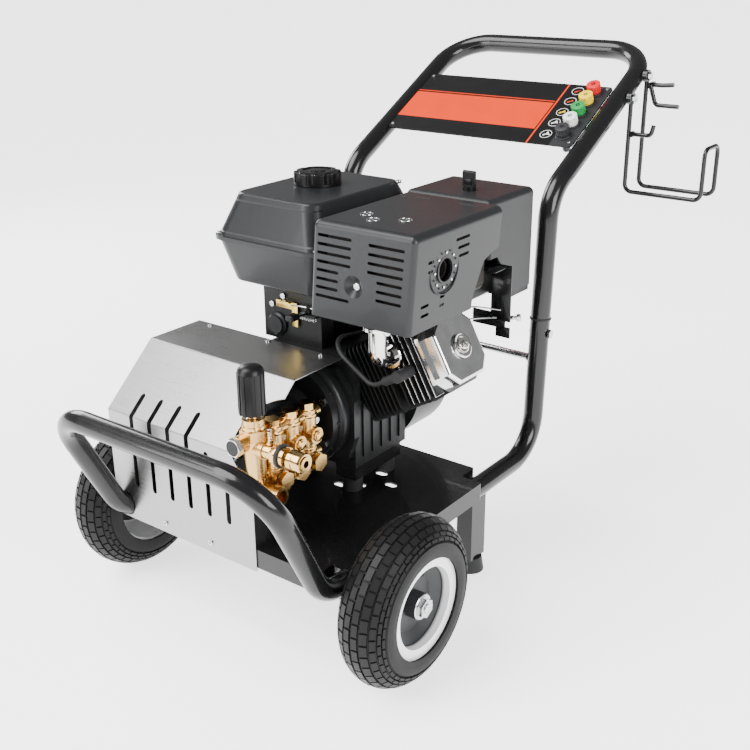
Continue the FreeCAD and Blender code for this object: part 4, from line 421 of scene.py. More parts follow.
def drum(mesh, radius, height, matrix, sides=32, top=None, soften=0.0):
    """A cylinder or cone in millimetres that stands on its place."""
    top = radius if top is None else top
    middle = matrix @ Matrix.Translation((0, 0, height / 2000))
    made = bmesh.ops.create_cone(mesh, cap_ends=True, segments=sides, radius1=radius / 1000,
                                 radius2=top / 1000, depth=height / 1000, matrix=middle)
    if soften:
        edges = {edge for vert in made["verts"] for edge in vert.link_edges
                 if any(len(face.verts) > 4 for face in edge.link_faces) or sides < 8}
        round_off(mesh, edges, soften)
    return made["verts"]


def round_off(mesh, edges, radius):
    bmesh.ops.bevel(mesh, geom=list(edges), offset=radius / 1000, offset_type="OFFSET", segments=2,
                    profile=0.5, affect="EDGES", clamp_overlap=True, material=-1)


def brick(mesh, size, matrix, soften=0.6):
    """A box in millimetres, centred on its place, with softened edges."""
    scale = Matrix.Diagonal((*[part / 1000 for part in size], 1))
    made = bmesh.ops.create_cube(mesh, size=1.0, matrix=matrix @ scale)
    if soften:
        round_off(mesh, {edge for vert in made["verts"] for edge in vert.link_edges}, soften)
    return made["verts"]


def lathe(mesh, profile, matrix, steps=48):
    """A turned shape from (radius, height) in millimetres; an open outline gives an open skin."""
    verts = [mesh.verts.new(matrix @ (Vector((radius, 0, height)) / 1000)) for radius, height in profile]
    edges = [mesh.edges.new(pair) for pair in zip(verts, verts[1:])]
    if profile[0][0] > 0 and profile[-1][0] > 0:
        edges.append(mesh.edges.new((verts[-1], verts[0])))
    axis = matrix.to_3x3() @ Z
    bmesh.ops.spin(mesh, geom=verts + edges, cent=matrix.translation, axis=axis, angle=FULL, steps=steps,
                   use_merge=True, use_duplicate=False)
    bmesh.ops.remove_doubles(mesh, verts=mesh.verts, dist=MERGE)


def ring(mesh, radius, section, matrix, steps=48, sides=12):
    """A closed ring of round section."""
    outline = [(radius + section * math.cos(FULL * i / sides), section * math.sin(FULL * i / sides))
               for i in range(sides)]
    lathe(mesh, outline, matrix, steps)


def nut(mesh, flats, height, matrix, hole=0.0):
    """A hexagon nut with softened corners and, where asked, a raised ring round its bore."""
    drum(mesh, flats / 2 * 1.1547, height, matrix, sides=6, soften=0.5)
    if hole:
        foot, top, outer = height - 0.2, height + 0.5, hole + 1.2
        lathe(mesh, [(hole, foot), (hole, top), (outer, top), (outer, foot)], matrix, 20)


def socket_screw(mesh, radius, height, matrix):
    """A round screw head with a hexagon recess."""
    head = drum(mesh, radius, height, matrix, sides=24)
    top = max((face for vert in head for face in vert.link_faces if len(face.verts) > 4),
              key=lambda face: (matrix.inverted() @ face.calc_center_median()).z)
    bmesh.ops.inset_region(mesh, faces=[top], thickness=radius * 0.42 / 1000, use_even_offset=True)
    sunk = bmesh.ops.extrude_discrete_faces(mesh, faces=[top])["faces"]
    down = matrix.to_3x3() @ (-Z * height * 0.7 / 1000)
    bmesh.ops.translate(mesh, verts=sunk[0].verts, vec=down)


def placed(name, data):
    """A new object in the scene."""
    made = bpy.data.objects.new(name, data)
    bpy.context.scene.collection.objects.link(made)
    return made


def finished(name, mesh, finish, body="chassis", crease=0.6):
    """Makes an object of a mesh, gives it its finish, and lets it ride on its body."""
    bmesh.ops.recalc_face_normals(mesh, faces=mesh.faces)
    data = bpy.data.meshes.new(name)
    mesh.to_mesh(data)
    mesh.free()
    for face in data.polygons:
        face.use_smooth = True
    data.set_sharp_from_angle(angle=crease)
    made = placed(name, data)
    data.materials.append(FINISHES[finish])
    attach(made, body)
    return made


def wire(name, runs, radius, finish, body="chassis"):
    """Smoothly bent rods along points in millimetres, as a mesh."""
    curve = bpy.data.curves.new(name + "_line", "CURVE")
    curve.dimensions = "3D"
    curve.bevel_depth = radius / 1000
    curve.bevel_resolution = 3
    curve.use_fill_caps = True
    curve.resolution_u = 6
    for run in runs:
        line = curve.splines.new("NURBS")
        line.points.add(len(run) - 1)
        for knot, spot in zip(line.points, run):
            knot.co = (*at(*spot), 1)
        line.order_u = 3
        line.use_endpoint_u = True
    holder = placed(name + "_line", curve)
    bpy.context.view_layer.update()
    data = bpy.data.meshes.new_from_object(holder.evaluated_get(bpy.context.evaluated_depsgraph_get()))
    bpy.data.objects.remove(holder)
    bpy.data.curves.remove(curve)
    mesh = bmesh.new()
    mesh.from_mesh(data)
    bpy.data.meshes.remove(data)
    bmesh.ops.remove_doubles(mesh, verts=mesh.verts, dist=MERGE)
    return finished(name, mesh, finish, body)


def on_section(radius, angle):
    """A tyre outline's point on its section's circle, from an angle in degrees off the crown."""
    turn = math.radians(angle)
    return TREAD_CORE + radius * math.cos(turn), radius * math.sin(turn)


def on_head(along, across, up, direction=(1, 0, 0), turn=0.0):
    """A matrix on the inclined cylinder: along its bore, across it, and up from it."""
    tilt = Matrix.Rotation(-CYLINDER_TILT, 4, "Y")
    start = Matrix.Translation(at(CRANK_X, 205, CRANK_Z))
    stand = Vector(direction).normalized().to_track_quat("Z", "Y").to_matrix().to_4x4()
    place = Matrix.Translation(Vector((along, across, up)) / 1000)
    return start @ tilt @ place @ stand @ Matrix.Rotation(turn, 4, "Z")


def round_the_tail(wall_x, radius, turn):
    """A matrix on the guard's leaning right wall, on a circle round the tail hole."""
    rise = radius * math.sin(turn)
    return facing(X, (wall_x + 0.082 * rise, TAIL_Y + radius * math.cos(turn), TAIL_Z + rise))


def on_panel(x, rise, lift=0.0):
    """A matrix on the control panel's face."""
    low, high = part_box("control_panel")
    middle = (low + high) / 2
    top = Vector((0, -math.sin(LEAN), math.cos(LEAN)))
    slope = Vector((0, math.cos(LEAN), math.sin(LEAN)))
    centre = Vector((at(0, 0, 0).x, middle.y, middle.z)) + top * 0.0015
    place = centre + X * x / 1000 + slope * rise / 1000 + top * lift / 1000
    return Matrix.Translation(place) @ Matrix.Rotation(LEAN, 4, "X")


# ---- operators

class WasherOperator:
    """What the piece operators share."""
    bl_options = {"REGISTER", "UNDO"}

    def execute(self, context):
        self.make(context.scene.washer_sizes)
        return {"FINISHED"}


class WASHER_OT_finishes(WasherOperator, bpy.types.Operator):
    """Mix the finishes and put them on the made parts"""
    bl_idname = "washer.finishes"
    bl_label = "Finishes"

    def execute(self, context):
        FINISHES.update(make_finishes(context.scene.washer_colours))
        for finish, names in NODE_FINISH.items():
            for name in names.split():
                made = frame["nodes"][name]
                made.data.materials.clear()
                made.data.materials.append(FINISHES[finish])
        return {"FINISHED"}


class WASHER_OT_tyres(WasherOperator, bpy.types.Operator):
    """Block-tread tyres with ribbed flanks"""
    bl_idname = "washer.tyres"
    bl_label = "Tyres"

    def make(self, sizes):
        base = TREAD_TOP - sizes.tread_depth * 1000
        edges_of_rows = [0, 17, 36, 52, 62, 71]
        rows = list(zip(edges_of_rows, edges_of_rows[1:]))
        angles = sorted({sign * angle for angle in edges_of_rows for sign in (-1, 1)})
        steps = 80
        for side, x in (("left", -WHEEL_X), ("right", WHEEL_X)):
            mesh = bmesh.new()
            profile = [on_section(base, angle) for angle in angles]
            flank = [on_section(42.6, angle) for angle in (75, 83, 93, 104)]
            bead = [(79.2, 37.2), (78.4, 35.4), (78.4, 0)]
            upper = flank + bead
            lower = [(r, -h) for r, h in reversed(upper[:-1])]
            outline = lower + profile + upper
            lathe(mesh, outline, facing(X, (x, 0, WHEEL_Z)), steps)
            centre = at(x, 0, WHEEL_Z)

            def row_of(face):
                spot = face.calc_center_median() - centre
                radial = math.hypot(spot.y, spot.z) * 1000 - TREAD_CORE
                angle = math.degrees(math.atan2(abs(spot.x) * 1000, radial))
                if math.hypot(radial, spot.x * 1000) > 42:
                    return None
                return next((i for i, (a, b) in enumerate(rows) if a < angle < b), None)

            joined = []
            for edge in mesh.edges:
                if len(edge.link_faces) != 2:
                    continue
                found = [row_of(face) for face in edge.link_faces]
                if found[0] is None or found[0] != found[1]:
                    continue
                one, two = (vert.co - centre for vert in edge.verts)
                if abs(one.x - two.x) < 1e-5 or one.x * two.x < -1e-9:
                    continue
                middle = (one + two) / 2
                step = round(math.degrees(math.atan2(middle.z, middle.y)) / (360 / steps))
                offset = (found[0] + (middle.x > 0)) % 2
                if (step + offset) % 2:
                    joined.append(edge)
            bmesh.ops.dissolve_edges(mesh, edges=joined, use_verts=False)
            blocks = [face for face in mesh.faces if row_of(face) is not None]
            bmesh.ops.recalc_face_normals(mesh, faces=mesh.faces)
            bmesh.ops.inset_individual(mesh, faces=blocks, thickness=sizes.groove_width / 2,
                                       depth=0.0, use_even_offset=True)
            lifted = bmesh.ops.extrude_discrete_faces(mesh, faces=blocks)["faces"]
            for face in lifted:
                spot = face.calc_center_median() - centre
                core = Vector((0, spot.y, spot.z)).normalized() * (TREAD_CORE / 1000)
                bmesh.ops.translate(mesh, verts=face.verts,
                                    vec=(spot - core).normalized() * sizes.tread_depth)
                bmesh.ops.scale(mesh, verts=face.verts, vec=(0.94, 0.94, 0.94),
                                space=Matrix.Translation(-face.calc_center_median()))
            made = finished(f"tyre_{side}_tread", mesh, "tyre", f"wheel_{side}", 0.5)
            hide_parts(f"tyre_{side}")


class WASHER_OT_wheel_fittings(WasherOperator, bpy.types.Operator):
    """Hub collars, valve stems, axle washers and split pins"""
    bl_idname = "washer.wheel_fittings"
    bl_label = "Wheel fittings"

    def make(self, sizes):
        for side, sign in (("left", -1), ("right", 1)):
            mesh = bmesh.new()
            out = X * sign
            lathe(mesh, [(10.6, 29), (19, 29), (19.6, 30.5), (18.4, 31.6), (10.6, 31.6)],
                  facing(out, (sign * WHEEL_X, 0, WHEEL_Z)))
            finished(f"wheel_nuts_{side}", mesh, "zinc", f"wheel_{side}")
            mesh = bmesh.new()
            place = (sign * (WHEEL_X + 14), 0, WHEEL_Z + 47)
            direction = Vector((sign * 0.9, 0, 0.35))
            lathe(mesh, [(0, 18), (2.6, 18), (3.1, 17), (3.1, 9), (2.6, 8.6), (4.6, 4), (5.2, 0), (0, 0)],
                  facing(direction, place), 20)
            finished(f"valve_stem_{side}", mesh, "rubber", f"wheel_{side}")
            mesh = bmesh.new()
            end = WHEEL_X + 39
            lathe(mesh, [(10.2, 0), (16.5, 0), (16.5, 2), (10.2, 2)],
                  facing(out, (sign * (WHEEL_X + 30.4), 0, WHEEL_Z)))
            drum(mesh, 7.5, 1.5, facing(out, (sign * end, 0, WHEEL_Z)), soften=0.4)
            finished(f"axle_washer_{side}", mesh, "zinc", "chassis")
            wire(f"split_pin_{side}", [[(sign * (end - 3), -14, 132), (sign * (end - 3), -8, 130),
                                        (sign * (end - 2.5), 12, 130), (sign * (end - 3), 16, 127)]],
                 1.2, "zinc", "chassis")


class WASHER_OT_panel_fittings(WasherOperator, bpy.types.Operator):
    """Round signs, tip grommets and panel screws"""
    bl_idname = "washer.panel_fittings"
    bl_label = "Panel fittings"

    def make(self, sizes):
        rings = bmesh.new()
        marks = {"band": bmesh.new(), "tip_yellow": bmesh.new(), "tip_white": bmesh.new()}
        radius = sizes.sign_radius * 1000
        looks = ("band", "band", "tip_yellow", "tip_white", "tip_white")
        for i, (rise, look) in enumerate(zip((67.9, 37.2, 4.8, -26.3, -59.7), looks)):
            matrix = on_panel(SIGN_X, rise)
            inner = radius - 1.0
            lathe(rings, [(inner, -0.2), (radius, -0.2), (radius, 0.25), (inner, 0.25)], matrix, 40)
            turn = matrix @ Matrix.Rotation(math.radians(35), 4, "Z")
            lying = Matrix.Rotation(math.pi / 2, 4, "Y")
            mesh = marks[look]
            drum(mesh, 1.7, 5.2, turn @ Matrix.Translation((-0.0062, 0, 0.0001)) @ lying, 12)
            drum(mesh, 1.0, 6.0, turn @ Matrix.Translation((-0.0006, 0, 0.0001)) @ lying, 12,
                 top=0.6 + i * 1.4)
        face = on_panel(SIGN_X, 0)
        flatten = face @ Matrix.Diagonal((1, 1, 0.12, 1)) @ face.inverted()
        for mesh in marks.values():
            bmesh.ops.transform(mesh, matrix=flatten, verts=mesh.verts)
        finished("sign_rings", rings, "tip_white", "chassis")
        for look, mesh in marks.items():
            finished(f"sign_marks_{look}", mesh, look, "chassis")
        mesh = bmesh.new()
        screws = bmesh.new()
        for rise in TIP_RISES:
            lathe(mesh, [(9.4, -0.2), (14.6, -0.2), (14.6, 1.0), (13.2, 2.6), (11.4, 2.6), (10.2, 1.4),
                         (9.4, 1.2)], on_panel(TIP_X, rise))
        for x in (-187, 187):
            for rise in (-78, 78):
                socket_screw(screws, 3.4, 2.2, on_panel(x, rise))
        finished("tip_grommets", mesh, "rubber", "chassis")
        finished("panel_screws", screws, "zinc", "chassis")


class WASHER_OT_spray_tips(WasherOperator, bpy.types.Operator):
    """Moulded heads for the five spray tips"""
    bl_idname = "washer.spray_tips"
    bl_label = "Spray tips"

    def make(self, sizes):
        for name, rise in zip(TIPS, TIP_RISES):
            mesh = bmesh.new()
            matrix = on_panel(TIP_X, rise)
            head = drum(mesh, 12.9, 11.0, matrix @ Matrix.Translation((0, 0, 0.0075)), sides=9)
            sides = [face for vert in head for face in vert.link_faces if len(face.verts) == 4]
            bmesh.ops.inset_individual(mesh, faces=list(set(sides)), thickness=0.0014, depth=-0.0009)
            lathe(mesh, [(0, 19), (10.4, 19), (12.0, 18.3), (12.4, 17.2), (0, 16.5)], matrix, 36)
            lathe(mesh, [(9, 0.4), (11, 0.4), (11.8, 4), (12.4, 8), (0, 9)], matrix, 36)
            lathe(mesh, [(0, 1), (6.9, 1), (6.9, -30), (5.6, -32), (0, -32)], matrix, 36)
            made = finished(f"tip_head_{name}", mesh, f"tip_{name}", f"tip_{name}", 0.5)
            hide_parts(f"spray_tip_{name}")
            mesh = bmesh.new()
            lathe(mesh, [(2.0, 19.0), (3.6, 19.0), (3.6, 19.3), (2.0, 19.3)], matrix, 24)
            finished(f"tip_eye_{name}", mesh, "plastic", f"tip_{name}")


class WASHER_OT_pump_head(WasherOperator, bpy.types.Operator):
    """Socket screws, clamp rods, hexagons and rings on the brass pump head"""
    bl_idname = "washer.pump_head"
    bl_label = "Pump head"

    def make(self, sizes):
        screws = bmesh.new()
        radius = sizes.screw_radius * 1000
        for y in (-14, 24, 62):
            for z in (304, 334):
                socket_screw(screws, radius + 0.3, 8.2, facing(X, (63.5, y, z)))
        finished("head_screws", screws, "zinc", "chassis")
        brass = bmesh.new()
        for y in COLUMNS_Y:
            column = facing(Z, (COLUMN_X, y, 0))
            lathe(brass, [(11.4, 349), (15.2, 349), (15.6, 350), (15.6, 353), (15.2, 354), (11.4, 354)],
                  column)
            lathe(brass, [(13.4, 296), (14.6, 296), (14.9, 297.5), (14.6, 299), (13.4, 299)], column)
            drum(brass, 8.6, 6.0, facing(X, (85, y, CRANK_Z)), soften=0.8)
            nut(brass, 13, 5.0, facing(X, (88, y, CRANK_Z)))
        nut(brass, 27, 11, facing(X, (101, UNLOADER_Y, OUTLET_Z)))
        column = facing(Z, (UNLOADER_X, UNLOADER_Y, 0))
        lathe(brass, [(15.6, 366), (17.2, 366), (17.6, 368), (17.2, 372), (15.6, 372)], column)
        lathe(brass, [(15.6, 284), (17.0, 284), (17.4, 287), (17.0, 290), (15.6, 290)], column)
        lathe(brass, [(0, 19), (3, 19), (3, 5), (6, 3), (6, 0), (0, 0)], facing(Z, (92, UNLOADER_Y, 350)), 24)
        for i in range(7):
            ring(brass, 14.9, 0.55, facing(X, (96 + i * 2.0, UNLOADER_Y, 269)), 40, 6)
        finished("head_brass", brass, "brass", "chassis")
        dark = bmesh.new()
        lathe(dark, [(12.1, 112.4), (17.6, 112.4), (18, 113.4), (18, 116.6), (17.6, 117.4), (12.1, 117.4)],
              facing(X, (0, UNLOADER_Y, OUTLET_Z)))
        lathe(dark, [(0, 0.6), (11.2, 0.6), (11.8, 0), (11.8, -6), (0, -6)], facing(-Y, (53, -102, 345)))
        for y in COLUMNS_Y:
            lathe(dark, [(14.0, 0), (15, 0.2), (15, 1.6), (14.0, 1.8)], facing(X, (83.5, y, 277)), 40)
        finished("head_seals", dark, "rubber", "chassis")
        wire("spring_pin", [[(92 + 3.4 * math.cos(t * 0.9), UNLOADER_Y + 3.4 * math.sin(t * 0.9),
                              352 + t * 0.62) for t in range(36)]], 0.7, "zinc", "chassis")
        mesh = bmesh.new()
        for i in range(7):
            turn = FULL * i / 7
            place = (CRANK_X + 55 * math.cos(turn), -40, CRANK_Z + 38 * math.sin(turn))
            drum(mesh, 1.6, 1.2, facing(-Y, place), 16)
        lathe(mesh, [(8.5, 0), (13, 0), (13, 3), (11.8, 4.2), (8.5, 4.2)], facing(-Y, (-3, -45, 300)))
        finished("pump_case_screws", mesh, "zinc", "chassis")


class WASHER_OT_knob(WasherOperator, bpy.types.Operator):
    """The pressure knob's fluted body and domed cap"""
    bl_idname = "washer.knob"
    bl_label = "Pressure knob"

    def make(self, sizes):
        mesh = bmesh.new()
        foot = facing(Z, (UNLOADER_X, UNLOADER_Y, 390))
        wall = drum(mesh, 18.8, 62, foot, sides=48)
        axis = foot.translation
        lanes = sorted({face for vert in wall for face in vert.link_faces if len(face.verts) == 4},
                       key=lambda face: (face.calc_center_median() - axis).xy.angle_signed(X.xy))
        ribs = [face for i, face in enumerate(lanes) if i % 4 < 2]
        raised = bmesh.ops.extrude_face_region(mesh, geom=ribs)["geom"]
        verts = [item for item in raised if isinstance(item, bmesh.types.BMVert)]
        bmesh.ops.scale(mesh, verts=verts, vec=(1.06, 1.06, 1.0), space=Matrix.Translation(-axis))
        bmesh.ops.delete(mesh, geom=[face for face in ribs if face.is_valid], context="FACES_ONLY")
        lathe(mesh, [(0, 74), (9, 73.4), (14.5, 71.2), (18.2, 67), (19.6, 62), (18, 60.5), (0, 60)], foot)
        lathe(mesh, [(8.2, 0), (16, 0), (17.4, 1), (18.9, 4), (8.2, 4)], foot)
        made = finished("pressure_knob_fluted", mesh, "plastic", "unloader_knob", 0.5)
        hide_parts("pressure_knob")
        mesh = bmesh.new()
        lathe(mesh, [(0, 389), (7.9, 389), (7.9, 383), (11, 381), (11, 378), (0, 378)],
              facing(Z, (UNLOADER_X, UNLOADER_Y, 0)))
        finished("knob_stem", mesh, "zinc", "chassis")


class WASHER_OT_guard_details(WasherOperator, bpy.types.Operator):
    """Embossed marks, studs and screws on the muffler guard, and flat dark pieces of painted shade in its
    slots and holes
    """
    bl_idname = "washer.guard_details"
    bl_label = "Guard details"

    def make(self, sizes):
        mesh = bmesh.new()
        for x, y in ((104, 150), (132, 128), (172, 152)):
            top = facing(Z, (x, y, GUARD_TOP))
            lathe(mesh, [(8.4, -0.4), (10.4, -0.4), (10.0, 0.5), (8.8, 0.5)], top, 32)
            for size in ((9, 1.6, 0.9), (1.6, 6, 0.9)):
                brick(mesh, size, facing(Z, (x, y, GUARD_TOP), 0.5), 0.3)
        for i in range(8):
            drum(mesh, 1.9, 1.1, round_the_tail(236.3, 26, FULL * i / 8), 12, soften=0.4)
        finished("guard_marks", mesh, "polished", "chassis")
        # painted shade: flat dark matte pieces stand for the dark inside of the guard's holes and slots
        dark = bmesh.new()
        for i in range(8):
            drum(dark, 1.5, 0.9, round_the_tail(236.4, 28, FULL * (i + 0.5) / 8), 12)
        for x, slot_length in ((114, 26), (196, 36)):
            brick(dark, (slot_length, 3.4, 0.8), facing(Z, (x, 282, GUARD_TOP)), 0.3)
        drum(dark, 4.2, 0.7, facing(Z, (84, 270, 640.8)), 24)
        finished("guard_holes", dark, "gasket", "chassis")
        bolt = bmesh.new()
        nut(bolt, 10, 5, facing(-Y, (135, 88.2, 552)), 2.2)
        lathe(bolt, [(0, 0), (8.2, 0), (8.2, 1.2), (0, 1.2)], facing(-Y, (135, 88.6, 552)), 32)
        finished("guard_bolt", bolt, "zinc", "chassis")


class WASHER_OT_engine_details(WasherOperator, bpy.types.Operator):
    """Head plates, cover bolts, ribs, studs and the gasket line on the engine"""
    bl_idname = "washer.engine_details"
    bl_label = "Engine details"

    def make(self, sizes):
        bright = bmesh.new()
        drum(bright, 12, 4, on_head(HEAD_TOP + 34, 0, 0), 40, soften=1.0)
        nut(bright, 12, 6, on_head(HEAD_TOP + 37, 0, 0), 2.6)
        lathe(bright, [(13.5, 0), (19.5, 0), (19.0, 2.4), (17.5, 3.0), (15.5, 2.4), (13.5, 2.2)],
              on_head(HEAD_TOP + 34, 0, 0))
        for a, b in ((44, 30), (44, -30), (-44, 30), (-44, -30)):
            nut(bright, 10, 5, on_head(HEAD_TOP + 7, a, b), 2.2)
        finished("cover_bolts", bright, "chrome", "chassis")
        gasket = bmesh.new()
        drum(gasket, 63.3, 2.0, on_head(HEAD_TOP - 1.0, 0, 0, turn=math.pi / 8), 8)
        finished("cover_gasket", gasket, "gasket", "chassis")
        mesh = bmesh.new()
        for along in (184, 195, 206, 217, 228):
            brick(mesh, (1.2, 116, 110), on_head(along, 0, 0, Z), 0.4)
        finished("head_plates", mesh, "polished", "chassis")
        studs = bmesh.new()
        for x, z in ((-48, 372), (58, 372), (82, 322), (74, 278), (-78, 322), (-20, 256), (30, 256)):
            nut(studs, 10, 5, facing(-Y, (x, 116, z)))
        for x in (-115, 67):
            for y in (146, 244):
                nut(studs, 13, 7, facing(Z, (x, y, 246)), 3.4)
        nut(studs, 14, 9, facing(-Y, (-86, 128, 240)))
        finished("engine_studs", studs, "zinc", "chassis")
        ribs = bmesh.new()
        for i in range(10):
            turn = FULL * i / 10
            place = (CRANK_X + 62 * math.cos(turn), 96.5, CRANK_Z + 62 * math.sin(turn))
            matrix = Matrix.Translation(at(*place)) @ Matrix.Rotation(-turn, 4, "Y")
            brick(ribs, (40, 5, 4), matrix, 1.0)
        lathe(ribs, [(24, 0), (36, 0), (34, 5), (26, 5)], facing(-Y, (CRANK_X, 98, CRANK_Z)))
        finished("case_ribs", ribs, "dark_alloy", "chassis")
        pipe = bmesh.new()
        lathe(pipe, [(14.2, 0), (22, 0), (22, 5), (14.2, 5)], facing(Z, (EXHAUST_X, EXHAUST_Y, 486)))
        for x in (-17, 17):
            nut(pipe, 10, 6, facing(-Z, (EXHAUST_X + x, EXHAUST_Y, 486)), 2.4)
        lathe(pipe, [(14.1, 0), (19, 0), (20, 2), (19, 4), (14.1, 4)], facing(Y, (EXHAUST_X, 137, 434)))
        finished("pipe_flanges", pipe, "chrome", "chassis")


class WASHER_OT_controls(WasherOperator, bpy.types.Operator):
    """Control rods, the governor spring, the throttle bracket, ribs and the rear control plate"""
    bl_idname = "washer.controls"
    bl_label = "Controls"

    def make(self, sizes):
        plate = bmesh.new()
        for size, place in (((36, 2.2, 92), (227, 333, 496)), ((30, 40, 2.2), (224, 313, 540)),
                            ((60, 2.2, 24), (206, 333, 450)), ((26, 2.2, 18), (232, 333, 432))):
            brick(plate, size, facing(Z, place), 0.8)
        finished("control_plate", plate, "powder", "chassis")
        rod = sizes.rod_radius * 1000
        wire("control_rods", [
            [(148, 287, 440), (170, 300, 448), (200, 326, 452), (250, 345, 456)],
            [(158, 290, 470), (190, 306, 474), (214, 324, 470), (228, 332, 468)],
            [(-70, 150, 470), (-40, 138, 476), (-12, 136, 480), (20, 142, 476), (60, 190, 468),
             (108, 270, 462)],
        ], rod, "zinc", "chassis")
        wire("governor_spring", [[(-30 + 0.75 * t, 133 + 3.2 * math.cos(t * 1.1),
                                   462 + 3.2 * math.sin(t * 1.1)) for t in range(60)]],
             0.55, "zinc", "chassis")
        knobs = bmesh.new()
        nut(knobs, 11, 6, facing((1, 0.4, 0.1), (250, 345, 456)), 2.4)
        drum(knobs, 3.4, 12, facing((1, 0.4, 0.1), (240, 341, 455)), 20, soften=0.6)
        for x, z in ((-60, 487), (-84, 470)):
            nut(knobs, 9, 4, facing(-Y, (x, 143.5, z)), 2.0)
        finished("control_nuts", knobs, "zinc", "chassis")
        shroud = bmesh.new()
        for i in range(5):
            brick(shroud, (5, 4, 44), facing(Z, (-78 + i * 16, 150, 436)), 1.0)
        lathe(shroud, [(0, 0), (15, 0), (15, -4), (19, -6), (19, -16), (0, -16)],
              facing(-Y, (-74, 134, 438)), 40)
        finished("top_shroud", shroud, "dark_alloy", "chassis")
        lever = bmesh.new()
        for size, place in (((44, 2.0, 12), (-52, 140.5, 474)), ((12, 2.0, 34), (-34, 139.5, 458)),
                            ((20, 12, 2.0), (-46, 134, 482))):
            brick(lever, size, facing(Z, place), 0.6)
        finished("throttle_bracket", lever, "passivated", "chassis")


class WASHER_OT_frame_fittings(WasherOperator, bpy.types.Operator):
    """Weld beads, tube collars and cover screws"""
    bl_idname = "washer.frame_fittings"
    bl_label = "Frame fittings"

    def make(self, sizes):
        welds = bmesh.new()
        for sign in (-1, 1):
            ring(welds, 6.6, 1.5, facing(X, (sign * 192.6, 494, 331)), 32, 8)
        finished("brace_welds", welds, "powder", "chassis")
        screws = bmesh.new()
        for x in (-214, -120, -20):
            socket_screw(screws, 4.2, 2.4, facing(-Y, (x, -87.4, 160)))
        for x in (-200, -70, 40):
            socket_screw(screws, 4.0, 2.2, facing(Z, (x, 112, 417)))
        finished("cover_screws", screws, "zinc", "chassis")
        caps = bmesh.new()
        for sign in (-1, 1):
            lathe(caps, [(17.2, -2), (18.6, -1.4), (18.6, 1.4), (17.2, 2)],
                  facing((0, 0.049, 1), (sign * 210, 497.6, 405)))
        finished("tube_collars", caps, "rubber", "chassis")


class WASHER_OT_tank_details(WasherOperator, bpy.types.Operator):
    """The filler cap's grip ribs, the mark on the air cleaner's knob, and the tank's screws"""
    bl_idname = "washer.tank_details"
    bl_label = "Tank details"

    def make(self, sizes):
        mesh = bmesh.new()
        matrix = facing(Z, (FILLER_X, FILLER_Y, 0))
        lathe(mesh, [(24, 662.6), (31, 662.8), (31, 664), (29, 664.6), (24, 664.4)], matrix)
        drum(mesh, 13, 1.6, facing(Z, (FILLER_X, FILLER_Y, 662.6)), 40, soften=0.5)
        for i in range(8):
            turn = FULL * i / 8
            place = (FILLER_X + 30 * math.cos(turn), FILLER_Y + 30 * math.sin(turn), 662)
            brick(mesh, (12, 5, 2.6), facing(Z, place, turn), 0.8)
        finished("cap_ribs", mesh, "plastic", "filler_cap")
        mesh = bmesh.new()
        brick(mesh, (14, 1.4, 9), facing(Z, (139, 366, 655)), 0.5)
        finished("knob_emboss", mesh, "plastic", "cleaner_knob")
        mesh = bmesh.new()
        drum(mesh, 5, 5, facing(Z, (14, 352, 640)), 24, soften=1.0)
        for x, y in ((-176, 124), (26, 124), (-176, 388), (26, 388)):
            nut(mesh, 8, 3.5, facing(Z, (x, y, 575.4)))
        finished("tank_screws", mesh, "zinc", "chassis")


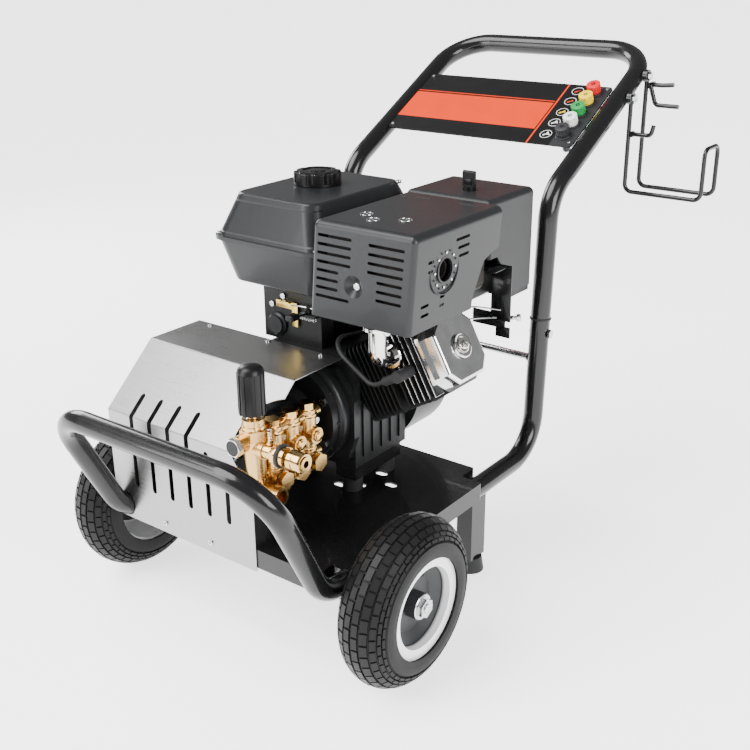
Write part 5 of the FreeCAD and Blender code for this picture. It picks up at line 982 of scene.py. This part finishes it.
class WASHER_OT_stage(WasherOperator, bpy.types.Operator):
    """A pale floor, soft lights and the camera"""
    bl_idname = "washer.stage"
    bl_label = "Stage"

    def make(self, sizes):
        mesh = bmesh.new()
        bmesh.ops.create_grid(mesh, x_segments=2, y_segments=2, size=sizes.floor_size / 2)
        data = bpy.data.meshes.new("studio_floor")
        mesh.to_mesh(data)
        mesh.free()
        floor = placed("studio_floor", data)
        data.materials.append(FINISHES["floor"])
        world = bpy.data.worlds.new("studio")
        world.use_nodes = True
        background = world.node_tree.nodes["Background"]
        background.inputs["Color"].default_value = (1.0, 1.0, 1.0, 1.0)
        background.inputs["Strength"].default_value = 0.32
        bpy.context.scene.world = world
        sun = bpy.data.lights.new("overhead_sun", "SUN")
        sun.energy = 6.0
        sun.angle = math.radians(45)
        lights = [("overhead_sun", (-1100, -1300, 3000), sun)]
        for name, place, size, power in (
                ("side_light", (2600, -300, 1500), 1.5, 95.0),
                ("front_light", (-1300, -2400, 1300), 1.5, 75.0),
                ("left_light", (-2600, 900, 1700), 1.2, 60.0)):
            lamp = bpy.data.lights.new(name, "AREA")
            lamp.size = size
            lamp.energy = power
            lights.append((name, place, lamp))
        for name, place, lamp in lights:
            holder = placed(name, lamp)
            holder.location = at(*place)
            aim = at(0, 250, 350) - holder.location
            holder.rotation_euler = aim.to_track_quat("-Z", "Y").to_euler()
        azimuth, elevation, roll = map(math.radians, CAMERA_TURNS)
        ahead = Vector((-math.sin(azimuth) * math.cos(elevation),
                        math.cos(azimuth) * math.cos(elevation), -math.sin(elevation)))
        right = Vector((math.cos(azimuth), math.sin(azimuth), 0))
        up = right.cross(ahead)
        right, up = (math.cos(roll) * right + math.sin(roll) * up,
                     math.cos(roll) * up - math.sin(roll) * right)
        lens = bpy.data.cameras.new("studio_camera")
        lens.sensor_width = SENSOR_WIDTH
        lens.lens = FOCAL_SHARE * SENSOR_WIDTH
        camera = placed("studio_camera", lens)
        turn = Matrix((right, up, -ahead)).transposed().to_4x4()
        camera.matrix_world = Matrix.Translation(at(*CAMERA_PLACE)) @ turn
        bpy.context.scene.camera = camera


OPERATORS = (
    WASHER_OT_finishes, WASHER_OT_tyres, WASHER_OT_wheel_fittings, WASHER_OT_panel_fittings,
    WASHER_OT_spray_tips, WASHER_OT_pump_head, WASHER_OT_knob, WASHER_OT_guard_details,
    WASHER_OT_engine_details, WASHER_OT_controls, WASHER_OT_frame_fittings, WASHER_OT_tank_details,
    WASHER_OT_stage,
)


class WASHER_PT_panel(bpy.types.Panel):
    """Lists the washer's pieces"""
    bl_idname = "WASHER_PT_panel"
    bl_label = "Pressure Washer"
    bl_space_type = "VIEW_3D"
    bl_region_type = "UI"
    bl_category = "Washer"

    def draw(self, context):
        for group in (context.scene.washer_sizes, context.scene.washer_colours):
            column = self.layout.column()
            for name in group.__annotations__:
                column.prop(group, name)
        for operator in OPERATORS:
            self.layout.operator(operator.bl_idname)


CLASSES = (WasherSizes, WasherColours, *OPERATORS, WASHER_PT_panel)


def register():
    for kind in CLASSES:
        bpy.utils.register_class(kind)
    bpy.types.Scene.washer_sizes = bpy.props.PointerProperty(type=WasherSizes)
    bpy.types.Scene.washer_colours = bpy.props.PointerProperty(type=WasherColours)


def unregister():
    del bpy.types.Scene.washer_sizes
    del bpy.types.Scene.washer_colours
    for kind in reversed(CLASSES):
        bpy.utils.unregister_class(kind)


def main():
    register()
    for operator in OPERATORS:
        group, name = operator.bl_idname.split(".")
        getattr(getattr(bpy.ops, group), name)()


if __name__ == "__main__":
    main()
